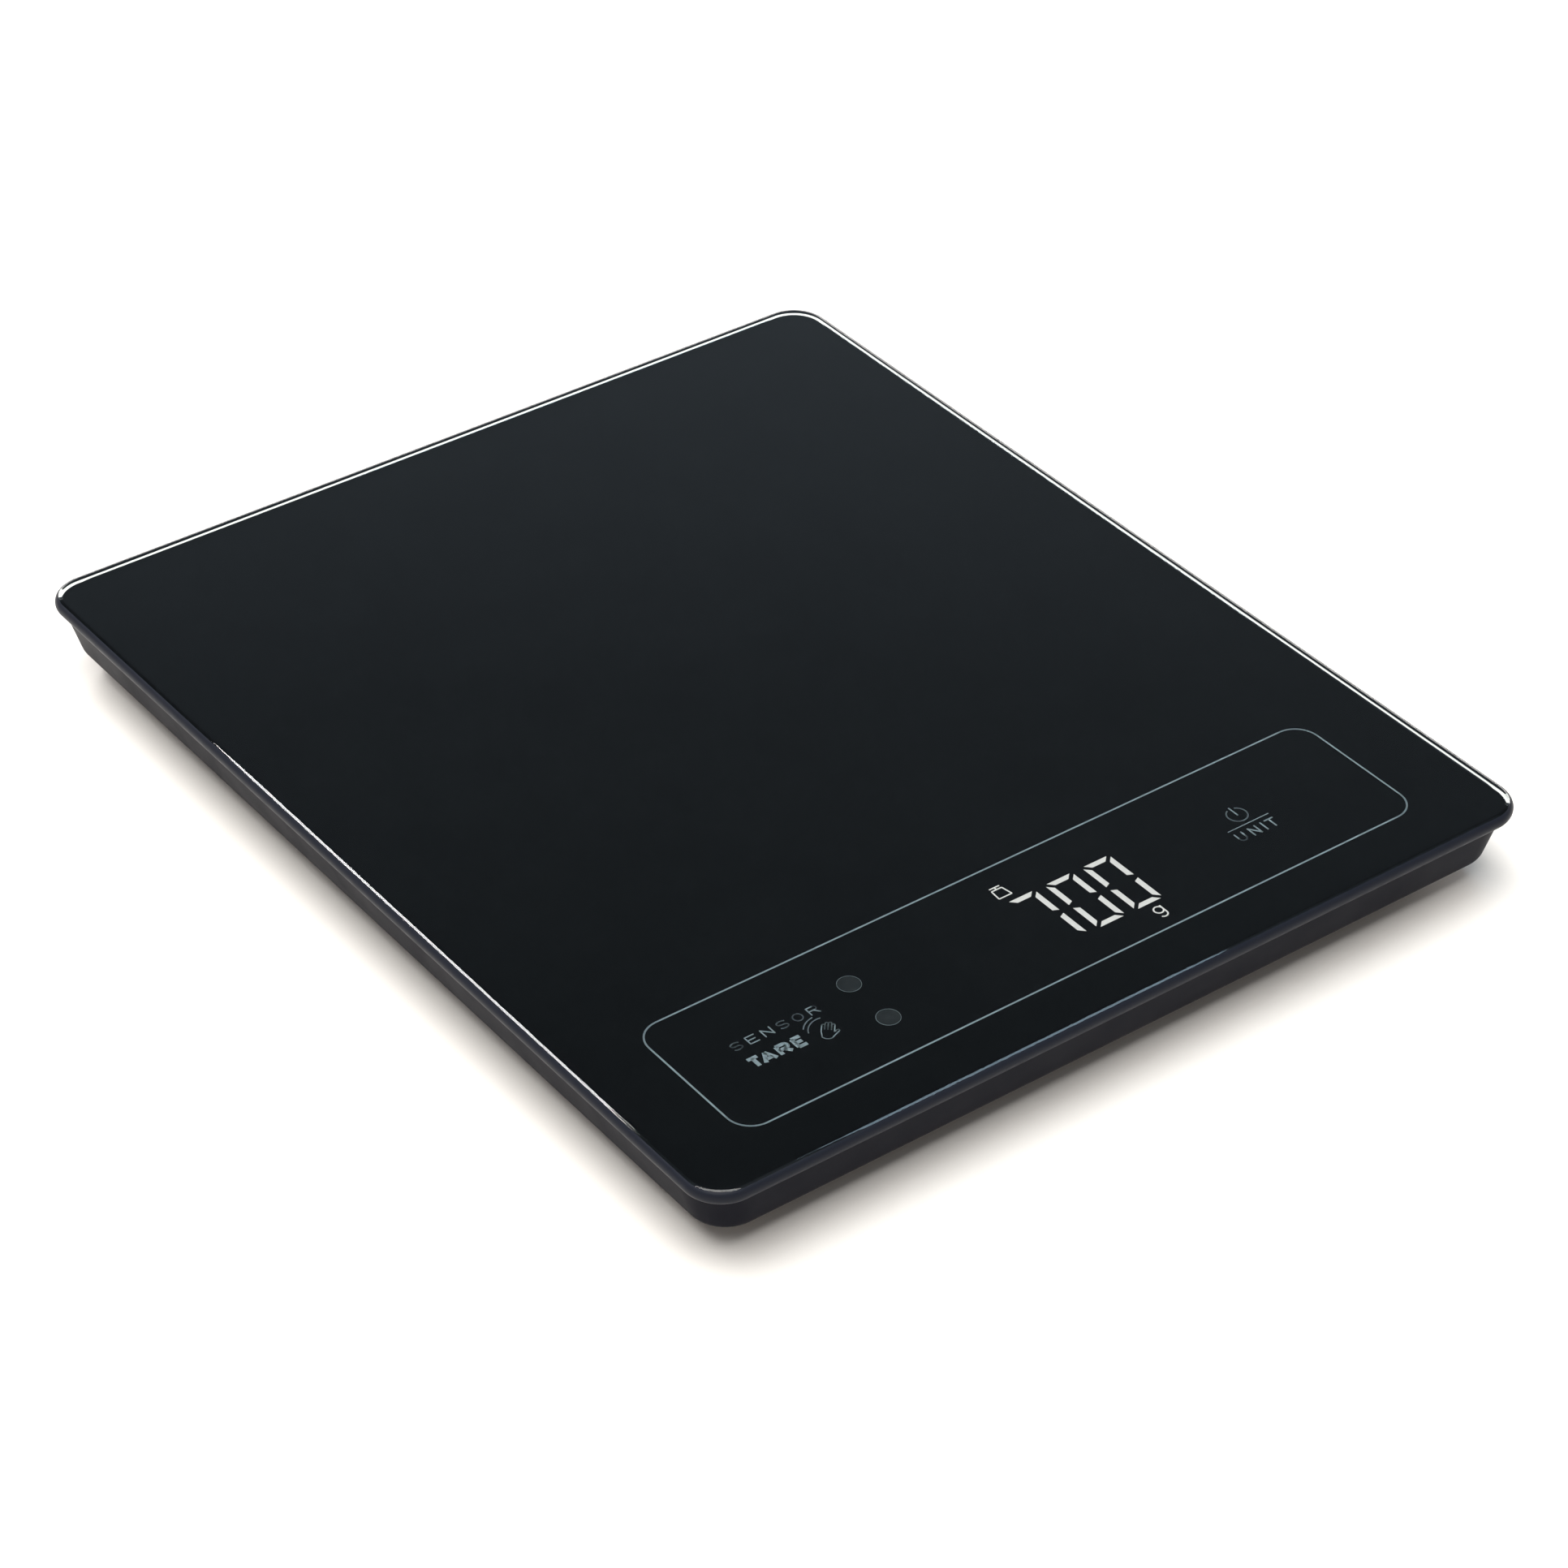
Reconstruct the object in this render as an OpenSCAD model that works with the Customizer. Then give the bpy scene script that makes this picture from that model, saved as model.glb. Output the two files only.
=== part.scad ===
// Slim kitchen scale: bonded glass platform on a moulded tray, four load cells with feet,
// a display and touch-free tare board under the front panel, and a battery box underneath.
// Origin: centre of the footprint, on the surface the feet stand on. +Z up, +Y away from the user.

/* [Glass platform] */
// Width of the glass, left to right
glass_w = 190; // [186:1:200]
// Depth of the glass, front to back
glass_d = 229; // [224:1:240]
// Thickness of the tempered glass
glass_t = 3; // [2.5:0.1:4]
// Corner radius of the glass
glass_r = 8; // [7:0.5:12]
// How far the pencil-ground edge rounds inwards
pencil = 1.5; // [1:0.1:2]

/* [Tray] */
// Overall height, feet to glass
total_h = 18; // [18:0.1:19]
// Height of the tray underside above the table
ground_gap = 5; // [4.8:0.1:5.2]
// Wall and floor thickness of the tray
wall = 1.8; // [1.6:0.1:2]
// Distance of the tray rim inside the glass edge
rim_inset = 1; // [0.8:0.1:1.4]
// Inward lean of the side walls per millimetre of height
lean = 0.3; // [0.2:0.02:0.34]
// Radius of the lower outside edge
edge_r = 3; // [2.6:0.1:3.2]
// Thickness of the foam tape that holds the glass
tape_t = 0.8; // [0.6:0.1:1]

/* [Feet and load cells] */
// Foot centre from the middle, left to right
foot_x = 72; // [70:0.5:73]
// Foot centre from the middle, front to back
foot_y = 90; // [88:0.5:91]
// Outside radius of a foot cup
foot_r = 9; // [8:0.1:9.4]
// Length of a load cell strip
cell_l = 44; // [42:1:45]
// Width of a load cell strip
cell_w = 14; // [12:1:15]

/* [Display] */
// Height of a digit between the middles of its top and bottom strokes
digit_h = 14.4; // [13:0.1:15]
// Width of a digit between the middles of its side strokes
digit_w = 5.4; // [5:0.1:5.8]
// Distance from digit to digit
digit_pitch = 8.85; // [8.6:0.05:9]
// Number of digits
digits = 5; // [3:1:5]

/* [Battery box] */
// Radius of one battery
batt_r = 5.25; // [5.1:0.05:5.25]
// Length of one battery with its nub
batt_l = 44.5; // [44:0.1:44.6]
// Middle of the battery box, front to back
box_y = 15; // [12:1:20]

/* [Hidden] */
$fn = 64;
side = [-1, 1];

// heights of the stack under the glass
z_glass = total_h - glass_t;
print_t = 0.1;
z_print = z_glass - print_t;
z_ledge = z_print - tape_t;
z_floor = ground_gap + wall;

// the tray outline, measured at its rim
tray_w = glass_w - 2 * rim_inset;
tray_d = glass_d - 2 * rim_inset;
tray_r = glass_r + 2;
lean_a = atan(lean);
arc_z = ground_gap + edge_r;
arc_in = lean * (z_print - arc_z) + edge_r / cos(lean_a);
lip = 1;
ledge_in = 5.2;
flange_z = 11.6;

// load cells
cell_t = 2;
z_cell = 9;
z_cell_top = z_cell + cell_t;
cell_end = 6;
cell_screws = [24, 33];
screw_r = 1.24;
pilot_gap = 0.01;
gauge_at = 12;
boss_r = 3.4;
well_gap = 0.8;
well_wall = 1.2;
well_h = 1.6;

// control board
board_t = 1.6;
z_board = 8.6;
z_top = z_board + board_t;
board_x = [-50, 60];
board_y = [-102, -66];
board_holes = [[-47, -69.5], [57, -69.5], [-47, -99], [57, -99]];
board_pilot = 1;
panel_y = -86;
disp_x = [-21, 25];
disp_y = [-100.5, -70.5];
last_digit_x = 18.8;
stroke = 1.25;
stroke_gap = 0.22;
weight_window = [-3, -77];
gram_window = [17.6, -98.8];
symbol_w = [4, 3];
symbol_h = 4;
guide_z = z_top + 1;
housing_z = z_print - 0.3;
sensor_x = -39.4;
sensor_y = [-91.2, -79.7];
sensor_r = 1.5;
lamp_top_z = 14.6;
window_r = 2.3;
shroud = [9, 21];
key_pos = [49.4, -83];
key_coil_r = 4;
key_wire_r = 0.35;
controller_pos = [35, -76];
converter_pos = [-27, -86];
resistor_rows = [[42, -76], [29, -84.5]];
resistor = [1, 2, 0.5];
resistor_pitch = 2.4;
buzzer_pos = [36, -93];
buzzer_r = 4.5;
buzzer_h = 3.5;
header = [6, 4, 3.6];
plug_y = -66.3;
plug_z = 12;
plug_x = [-40, -30, -20.5, 30, 40];

// battery box, x along the batteries
batt_n = 3;
batt_pitch = 11;
batt_z = 8.15;
batt_edge = 0.4;
nub_r = 1.9;
nub_h = 1;
box_l = 50;
box_d = 34;
box_wall = 1.5;
box_roof_z = 13.6;
contact_t = 0.4;
contact_w = 9;
contact_z = [4, 12.5];
tail_w = 3;
tail_z = 10;
tail_l = 1.9;
spring_r = 0.3;
skirt_z = 2.7;
door_z = 1.2;
door_t = 1.4;
hinge_y = box_y + box_d / 2 + box_wall + 2.5;
hinge_z = 3.2;
hinge_x = 16.4;
ear_r = 2;
ear_w = 2;
arm_w = 3;
arm_r = 1.6;
pin_r = 1;
pin_gap = 0.05;
latch_w = 10;
grip_r = 6;
grip_depth = 0.6;

// ---- shared shapes ----

// Rounded rectangle whose section is a list of [inset, height] points, lowest first.
// Every inset keeps the corner centres, so corners are true turned surfaces.
module rounded_slab(w, d, r, section) {
  half = [for (p = section) [d / 2 - p[0], p[1]]];
  rotate([90, 0, 90])
    translate([0, 0, r - w / 2])
      linear_extrude(w - 2 * r)
        polygon(concat(half, [for (k = [len(half) - 1:-1:0]) [-half[k][0], half[k][1]]]));
  quarter = concat([[0, section[0][1]]], [for (p = section) [r - p[0], p[1]]],
                   [[0, section[len(section) - 1][1]]]);
  for (s = side)
    translate([s * (w / 2 - r), d / 2 - r, 0])
      rotate([90, 0, 0])
        linear_extrude(d - 2 * r)
          polygon([for (p = quarter) [s * p[0], p[1]]]);
  for (sx = side, sy = side)
    translate([sx * (w / 2 - r), sy * (d / 2 - r), 0])
      rotate([0, 0, sx > 0 ? (sy > 0 ? 0 : -90) : (sy > 0 ? 90 : 180)])
        rotate_extrude(angle = 90)
          polygon(quarter);
}

// Box with round upright edges, from its low corner to its high corner
module rounded_box(low, high, r) {
  translate([0, 0, low[2]])
    linear_extrude(high[2] - low[2])
      for (k = [0:1])
        translate([low[0] + r * k, low[1] + r * (1 - k)])
          square([high[0] - low[0] - 2 * r * k, high[1] - low[1] - 2 * r * (1 - k)]);
  for (x = [low[0] + r, high[0] - r], y = [low[1] + r, high[1] - r])
    translate([x, y, low[2]])
      cylinder(r = r, h = high[2] - low[2]);
}

module box(low, high) {
  translate(low)
    cube(high - low);
}

function unit(v) = v / norm(v);
function tangent(p, k) = unit(p[min(k + 1, len(p) - 1)] - p[max(k - 1, 0)]);
function ring(c, t, r, n) =
  let (s = unit(cross(t, [0, 0, 1])), u = cross(s, t))
    [for (k = [0:n - 1]) c + r * (cos(360 * k / n) * s + sin(360 * k / n) * u)];

// Round wire along a list of points
module wire(p, r, n = 8) {
  m = len(p);
  points = [for (k = [0:m - 1]) each ring(p[k], tangent(p, k), r, n)];
  sides = [for (i = [0:m - 2], k = [0:n - 1])
    let (a = i * n + k, b = i * n + (k + 1) % n)
      each [[a, b, b + n], [a, b + n, a + n]]];
  first = [for (k = [n - 1:-1:0]) k];
  last = [for (k = [0:n - 1]) (m - 1) * n + k];
  polyhedron(points, concat([first], sides, [last]));
}

// Smooth route through hand-set points, with three steps between neighbours
function blend(a, b, c, d, t) =
  ((2 * b) + (c - a) * t + (2 * a - 5 * b + 4 * c - d) * t * t
    + (3 * b - a - 3 * c + d) * t * t * t) / 2;
function route(p, steps = 3) = concat([
  for (i = [0:len(p) - 2], k = [0:steps - 1])
    blend(p[max(i - 1, 0)], p[i], p[i + 1], p[min(i + 2, len(p) - 1)], k / steps)],
  [p[len(p) - 1]]);
function mirrored(p) = [for (q = p) [-q[0], q[1], q[2]]];

// Coil that climbs from z0 to z1, its radius going from r0 to r1
function coil(r0, r1, z0, z1, turns, per_turn = 12) =
  let (n = round(turns * per_turn))
    [for (k = [0:n]) let (f = k / n, a = 360 * turns * f, r = r0 + (r1 - r0) * f)
      [r * cos(a), r * sin(a), z0 + (z1 - z0) * f]];

// ---- platform ----

module glass_platform() {
  steps = 8;
  edge = [for (k = [0:steps]) let (a = -90 + 180 * k / steps)
    [pencil * (1 - cos(a)), z_glass + glass_t / 2 * (1 + sin(a))]];
  color("#1c2226", 0.5)
    rounded_slab(glass_w, glass_d, glass_r, edge);
}

// Black print on the underside, open over the display and the two sensors
module back_print() {
  color("#0b0d0f")
    difference() {
      rounded_slab(glass_w, glass_d, glass_r, [[pencil, z_print], [pencil, z_glass]]);
      box([disp_x[0], disp_y[0], z_print - 1], [disp_x[1], disp_y[1], total_h]);
      for (y = sensor_y)
        translate([sensor_x, y, z_print - 1])
          cylinder(r = window_r, h = glass_t);
    }
}

module display_filter() {
  color("#15181a")
    box([disp_x[0], disp_y[0], z_print], [disp_x[1], disp_y[1], z_glass]);
}

module sensor_windows() {
  color("#3a3f43")
    for (y = sensor_y)
      translate([sensor_x, y, z_print])
        cylinder(r = window_r, h = print_t);
}

module foam_tape() {
  color("#26282a")
    difference() {
      rounded_slab(tray_w, tray_d, tray_r, [[lip, z_ledge], [lip, z_print]]);
      rounded_slab(tray_w, tray_d, tray_r, [[ledge_in, z_ledge - 1], [ledge_in, z_print + 1]]);
    }
}

// ---- tray ----

// Section of the tray wall, offset inwards by t from the outside face
function tray_section(t, floor_z) =
  let (r = edge_r - t, steps = 6)
    [for (k = [0:steps]) let (a = 90 - (90 - lean_a) * k / steps)
      [arc_in - r * cos(a), max(arc_z - r * sin(a), floor_z)]];
function wall_in(t, z) = arc_in - (edge_r - t) / cos(lean_a) - lean * (z - arc_z);

module tray_shell() {
  difference() {
    rounded_slab(tray_w, tray_d, tray_r,
                 concat(tray_section(0, ground_gap), [[0, z_print]]));
    rounded_slab(tray_w, tray_d, tray_r,
                 concat(tray_section(wall, z_floor),
                        [[wall_in(wall, flange_z), flange_z], [ledge_in, z_ledge - 1.2],
                         [ledge_in, z_print + 1]]));
    rounded_slab(tray_w, tray_d, tray_r, [[lip, z_ledge], [lip, z_print + 1]]);
  }
}

module at_feet() {
  for (sx = side, sy = side)
    translate([sx * foot_x, sy * foot_y, 0])
      children();
}

// Positions of the load cell screws, seen from a foot centre on side sy
module at_cell_screws() {
  for (sx = side, sy = side, along = cell_screws)
    translate([sx * foot_x, sy * (foot_y - along), 0])
      children();
}

module battery_box_walls() {
  x = box_l / 2 + box_wall;
  y = box_d / 2 + box_wall;
  rounded_box([-x, box_y - y, skirt_z], [x, box_y + y, box_roof_z + 1], 2);
}

module hinge_ears() {
  for (s = side) {
    ear = s > 0 ? hinge_x + 0.2 : -hinge_x - 0.2 - ear_w;
    translate([ear, hinge_y, hinge_z])
      rotate([0, 90, 0])
        cylinder(r = ear_r, h = ear_w);
    box([ear, hinge_y - ear_r, hinge_z], [ear + ear_w, hinge_y + ear_r, ground_gap + 0.5]);
  }
}

module floor_ribs() {
  rib = 1.2;
  rib_z = 8;
  cross_y = [-48, 62, 100];
  cross_x = 60;
  long_x = 44;
  for (y = cross_y)
    box([-cross_x, y - rib / 2, ground_gap + 1], [cross_x, y + rib / 2, rib_z]);
  for (s = side)
    box([s * long_x - rib / 2, cross_y[0], ground_gap + 1], [s * long_x + rib / 2, cross_y[2], rib_z]);
}

module tray() {
  board_boss_r = 2.6;
  color("#33363e")
    difference() {
      union() {
        tray_shell();
        floor_ribs();
        battery_box_walls();
        hinge_ears();
        at_cell_screws()
          translate([0, 0, ground_gap + 1])
            cylinder(r = boss_r, h = z_cell - ground_gap - 1);
        at_feet()
          translate([0, 0, ground_gap])
            cylinder(r = foot_r + well_gap + well_wall, h = wall + well_h);
        for (p = board_holes)
          translate([p[0], p[1], ground_gap + 1])
            cylinder(r = board_boss_r, h = z_board - ground_gap - 1);
      }
      at_feet()
        translate([0, 0, -1])
          cylinder(r = foot_r + well_gap, h = total_h);
      at_cell_screws()
        translate([0, 0, ground_gap + 1.2])
          cylinder(r = screw_r + pilot_gap, h = total_h);
      for (p = board_holes)
        translate([p[0], p[1], ground_gap + 1])
          cylinder(r = board_pilot, h = total_h);
      box([-box_l / 2, box_y - box_d / 2, 0], [box_l / 2, box_y + box_d / 2, box_roof_z]);
      translate([-box_l / 2, hinge_y, hinge_z])
        rotate([0, 90, 0])
          cylinder(r = pin_r + pin_gap, h = box_l);
      for (s = side)
        box([-box_l / 2 - 2 * box_wall, box_y + s * batt_pitch - tail_w / 2, tail_z],
            [-box_l / 2 + 1, box_y + s * batt_pitch + tail_w / 2, tail_z + contact_t]);
    }
}

// ---- load cells and feet ----

// One strip with its foot hole at the origin, running along +Y to the screws
module load_cell() {
  color("#b9bdc2")
    difference() {
      rounded_box([-cell_w / 2, -cell_end, z_cell], [cell_w / 2, cell_l - cell_end, z_cell_top], 2);
      translate([0, 0, z_cell - 1])
        cylinder(r = 1.8, h = cell_t + 2);
      for (along = cell_screws)
        translate([0, along, z_cell - 1])
          cylinder(r = 1.6, h = cell_t + 2);
      for (s = side)
        translate([s * cell_w / 2, gauge_at, z_cell - 1])
          cylinder(r = 3, h = cell_t + 2);
    }
}

// Foil gauges above and below the necked part, each under a dab of sealant
module strain_gauges() {
  color("#e9e7df")
    for (z = [[z_cell - 0.6, z_cell], [z_cell_top, z_cell_top + 1.8]])
      rounded_box([-3.5, gauge_at - 2.5, z[0]], [3.5, gauge_at + 2.5, z[1]], 1);
}

module load_cell_screws() {
  color("#8d9196")
    at_cell_screws()
      screw(z_cell_top, screw_r, 2.7, 1.6, z_cell_top - ground_gap - 1.4);
}

// Pan-head screw: head on the surface at z, shank below it, crosswise recess
module screw(z, r, head_r, head_h, length) {
  slot = 0.5;
  difference() {
    union() {
      translate([0, 0, z])
        rotate_extrude()
          polygon([[0, 0], [head_r, 0], [head_r, head_h * 0.5], [head_r * 0.7, head_h], [0, head_h]]);
      translate([0, 0, z - length])
        cylinder(r = r, h = length);
    }
    for (a = [0, 90])
      translate([0, 0, z + head_h])
        rotate([0, 0, a])
          cube([head_r, slot, head_h], center = true);
  }
}

// Plastic cup: a stem that meets the load cell and a recess for the rubber pad
module foot_cup() {
  color("#2b2e34")
    rotate_extrude()
      polygon([[0, 2.5], [7.6, 2.5], [7.6, 1.5], [foot_r - 0.6, 1.5], [foot_r, 2.1], [foot_r, 8.2],
               [4.5, 8.2], [4.5, z_cell], [1.5, z_cell], [1.5, 5], [0, 5]]);
}

module foot_pad() {
  color("#17181a")
    rotate_extrude()
      polygon([[0, 0.3], [3, 0.3], [3.4, 0], [6.6, 0], [7.2, 0.5], [7.2, 1.5], [7.6, 1.5], [7.6, 2.5],
               [0, 2.5]]);
}

module foot_screw() {
  color("#8d9196")
    screw(z_cell_top, 1.49, 2.9, 1.6, z_cell_top - 5.2);
}

// Places a foot's own part at its corner, turned so that +Y points to the middle
module corner(sx, sy) {
  translate([sx * foot_x, sy * foot_y, 0])
    rotate([0, 0, sy > 0 ? 180 : 0])
      children();
}

// ---- wiring ----

cable_r = 0.8;
lead_r = 0.6;
front_route = [[68.5, -78, 11.9], [66.5, -78, 11.9], [64.5, -78, 11.9], [62.6, -75, 11.4],
  [62, -70, 10], [61.5, -64, 9], [57, -59.5, 8.9], [50, -57.5, 8.9], [44, -57.5, 9],
  [41, -58.5, 10.2], [40.1, -60.6, 11.6], [40, -62.5, 12], [40, -64.4, 12], [40, plug_y, plug_z]];
back_route = [[68.5, 78, 11.9], [66.5, 78, 11.9], [64.5, 78, 11.9], [60, 76, 10.8], [57.5, 71, 9.2],
  [57, 64, 8.9], [57, 40, 8.9], [57, 10, 8.9], [56, -20, 8.9], [52, -38, 8.9], [43, -50, 8.9],
  [34, -54.5, 8.9], [31, -57, 9.8], [30.1, -60.2, 11.5], [30, -62.4, 12], [30, -64.4, 12],
  [30, plug_y, plug_z]];
red_route = [[-28.4, 4, 10.2], [-29.4, 4, 10.2], [-30.4, 4, 10.2], [-32.4, 1, 9.6], [-32.6, -7, 8.9],
  [-31, -20, 8.8], [-27, -36, 8.8], [-21, -50, 8.8], [-19.3, -56, 9.4], [-19, -60, 11.4],
  [-19, -62.4, 12], [-19, -64.4, 12], [-19, plug_y, plug_z]];
black_route = [[-28.4, 26, 10.2], [-29.6, 26, 10.2], [-30.8, 26, 10.2], [-34.4, 23.6, 9.6],
  [-35.8, 17, 8.9], [-36, 0, 8.8], [-34, -20, 8.8], [-30, -37, 8.8], [-24, -50, 8.8],
  [-22.3, -56, 9.4], [-22, -60, 11.4], [-22, -62.4, 12], [-22, -64.4, 12], [-22, plug_y, plug_z]];

module cell_cable(p) {
  color("#c9c9c4")
    wire(route(p), cable_r);
}

// ---- control board ----

module control_board() {
  color("#1f5b3a")
    difference() {
      rounded_box([board_x[0], board_y[0], z_board], [board_x[1], board_y[1], z_top], 1.5);
      for (p = board_holes)
        translate([p[0], p[1], z_board - 1])
          cylinder(r = 1.35, h = board_t + 2);
    }
}

module board_screws() {
  color("#8d9196")
    for (p = board_holes)
      translate([p[0], p[1], 0])
        screw(z_top, board_pilot - pilot_gap, 2.2, 1.3, z_top - ground_gap - 1.4);
}

// Flat package with legs along two or four sides
module chip(size, legs, four_sided) {
  color("#1a1a1c")
    translate([-size[0] / 2, -size[1] / 2, 0.1])
      cube([size[0], size[1], size[2]]);
  pitch = size[1] / (legs + 0.5);
  color("#b4b7ba")
    for (turn = four_sided ? [0, 90, 180, 270] : [0, 180], k = [0:legs - 1])
      rotate([0, 0, turn])
        translate([size[0] / 2, (k - (legs - 1) / 2) * pitch - 0.15, 0])
          cube([0.8, 0.3, 0.6]);
}

module controller_chip() {
  translate([controller_pos[0], controller_pos[1], z_top])
    chip([8, 8, 1.4], 8, true);
}

module converter_chip() {
  translate([converter_pos[0], converter_pos[1], z_top])
    chip([4, 10, 1.4], 8, false);
}

module chip_resistors() {
  color("#8a7a66")
    for (row = resistor_rows, k = [0:5])
      translate([row[0] + resistor_pitch * k, row[1], z_top])
        cube(resistor);
}

module plug_headers() {
  color("#e6e2d6")
    for (x = plug_x)
      translate([x - header[0] / 2, plug_y - header[1], z_top])
        cube(header);
}

module buzzer() {
  color("#18191b")
    translate([buzzer_pos[0], buzzer_pos[1], z_top])
      rotate_extrude()
        polygon([[0, 0], [buzzer_r, 0], [buzzer_r, buzzer_h - 0.3], [buzzer_r - 0.3, buzzer_h],
                 [1, buzzer_h], [1, buzzer_h - 0.5], [0, buzzer_h - 0.5]]);
}

// Outline of one of the seven strokes: 0 top, 1 middle, 2 bottom, 3 to 6 the four uprights
function stroke_shape(k) =
  let (w = digit_w / 2, h = digit_h / 2, t = stroke / 2, g = stroke_gap)
    k == 1 ? [[g - w, 0], [t + g - w, t], [w - t - g, t], [w - g, 0], [w - t - g, -t], [t + g - w, -t]]
    : k < 3 ? let (s = 1 - k)
      [[g - w - t, s * (h + t)], [w + t - g, s * (h + t)], [w - t - g, s * (h - t)],
       [t + g - w, s * (h - t)]]
    : let (sx = k % 2 == 0 ? 1 : -1, sy = k < 5 ? 1 : -1)
      [[sx * (w + t), sy * (h + t - g)], [sx * (w + t), sy * g], [sx * (w - t), sy * (t + g)],
       [sx * (w - t), sy * (h - t - g)]];

// All strokes and the two symbol windows of the display
module display_openings() {
  for (d = [0:digits - 1], k = [0:6])
    translate([last_digit_x - d * digit_pitch, panel_y])
      polygon(stroke_shape(k));
  translate(weight_window)
    square([symbol_w[0], symbol_h]);
  translate(gram_window)
    square([symbol_w[1], symbol_h]);
}

module display_housing() {
  color("#101113")
    difference() {
      box([disp_x[0], disp_y[0], z_top], [disp_x[1], disp_y[1], housing_z]);
      translate([0, 0, guide_z])
        linear_extrude(total_h)
          display_openings();
    }
}

module display_strokes() {
  color("#f2efe9")
    translate([0, 0, guide_z])
      linear_extrude(housing_z - guide_z)
        display_openings();
}

// Domed 3 mm lamp standing on the board
module lamp(tint) {
  z_dome = lamp_top_z - sensor_r;
  flange = [sensor_r + 0.4, 0.8];
  color(tint)
    rotate_extrude()
      polygon(concat([[0, z_top], [flange[0], z_top], [flange[0], z_top + flange[1]],
                      [sensor_r, z_top + flange[1]]],
                     [for (a = [0:10:80]) [sensor_r * cos(a), z_dome + sensor_r * sin(a)]],
                     [[0, lamp_top_z]]));
}

module infrared_emitter() {
  translate([sensor_x, sensor_y[0], 0])
    lamp("#a9b0c2");
}

module infrared_receiver() {
  translate([sensor_x, sensor_y[1], 0])
    lamp("#22242a");
}

// Opaque block that keeps the two lamps from seeing each other
module sensor_shroud() {
  middle = (sensor_y[0] + sensor_y[1]) / 2;
  color("#141517")
    difference() {
      rounded_box([sensor_x - shroud[0] / 2, middle - shroud[1] / 2, z_top],
                  [sensor_x + shroud[0] / 2, middle + shroud[1] / 2, z_print - 0.1], 1.5);
      for (y = sensor_y)
        translate([sensor_x, y, z_top - 1])
          cylinder(r = window_r + 0.1, h = total_h);
    }
}

// Sprung contact that carries the touch signal from the board to the print
module unit_key_spring() {
  color("#b9a36a")
    translate([key_pos[0], key_pos[1], 0])
      wire(coil(key_coil_r, key_coil_r - 0.5, z_top + key_wire_r, z_print - key_wire_r, 4.5), key_wire_r);
}

// ---- battery box ----

module battery(k) {
  turn = k % 2 == 0 ? 180 : 0;
  shift = box_l / 2 - contact_t;
  color("#3d4650")
    translate([0, box_y + (k - 2) * batt_pitch, batt_z])
      rotate([0, 0, turn])
        translate([shift, 0, 0])
          rotate([0, -90, 0])
            rotate_extrude()
              polygon([[0, 0], [nub_r, 0], [nub_r, nub_h], [batt_r - batt_edge, nub_h],
                       [batt_r, nub_h + batt_edge], [batt_r, batt_l - batt_edge],
                       [batt_r - batt_edge, batt_l], [0, batt_l]]);
}

module battery_springs() {
  plate_x = box_l / 2 - contact_t;
  gap = 2 * plate_x - batt_l;
  color("#c3c6c9")
    for (k = [1:batt_n])
      translate([0, box_y + (k - 2) * batt_pitch, batt_z])
        rotate([0, 0, k % 2 == 0 ? 180 : 0])
          translate([-plate_x, 0, 0])
            rotate([0, 90, 0])
              wire(coil(4.2, 2.4, spring_r, gap - spring_r, 3.5), spring_r);
}

// Spring steel plates on the end walls, with solder tails through the left wall
module battery_contacts() {
  x = box_l / 2;
  color("#c9ccd0") {
    for (k = [-1:1], left = [-x, x - contact_t])
      translate([left, box_y + k * batt_pitch - contact_w / 2, contact_z[0]])
        cube([contact_t, contact_w, contact_z[1] - contact_z[0]]);
    for (s = side)
      translate([-x - box_wall - tail_l, box_y + s * batt_pitch - tail_w / 2, tail_z])
        cube([box_wall + tail_l, tail_w, contact_t]);
  }
}

module battery_lead_red() {
  color("#a3201c")
    wire(route(red_route), lead_r);
}

module battery_lead_black() {
  color("#1b1b1d")
    wire(route(black_route), lead_r);
}

// Door with two pivot arms at the back and a latch tongue at the front
module battery_door() {
  x = box_l / 2 + box_wall;
  y = box_d / 2 + box_wall;
  color("#33363e")
    difference() {
      union() {
        rounded_box([-x, box_y - y, door_z], [x, box_y + y, door_z + door_t], 2);
        for (s = side) {
          arm = s > 0 ? hinge_x - arm_w : -hinge_x;
          box([arm, box_y + y - 2, door_z], [arm + arm_w, hinge_y, door_z + door_t]);
          translate([arm, hinge_y, hinge_z])
            rotate([0, 90, 0])
              cylinder(r = arm_r, h = arm_w);
          translate([s > 0 ? arm : arm - ear_w, hinge_y, hinge_z])
            rotate([0, 90, 0])
              cylinder(r = pin_r, h = arm_w + ear_w);
          box([arm, hinge_y - arm_r, door_z + 0.4], [arm + arm_w, hinge_y + 1.2, hinge_z]);
        }
        box([-latch_w / 2, box_y - box_d / 2 + 0.3, door_z + 1],
            [latch_w / 2, box_y - box_d / 2 + 1, ground_gap]);
      }
      translate([0, box_y - y + grip_r, door_z + grip_depth - grip_r])
        sphere(r = grip_r);
    }
}

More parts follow.
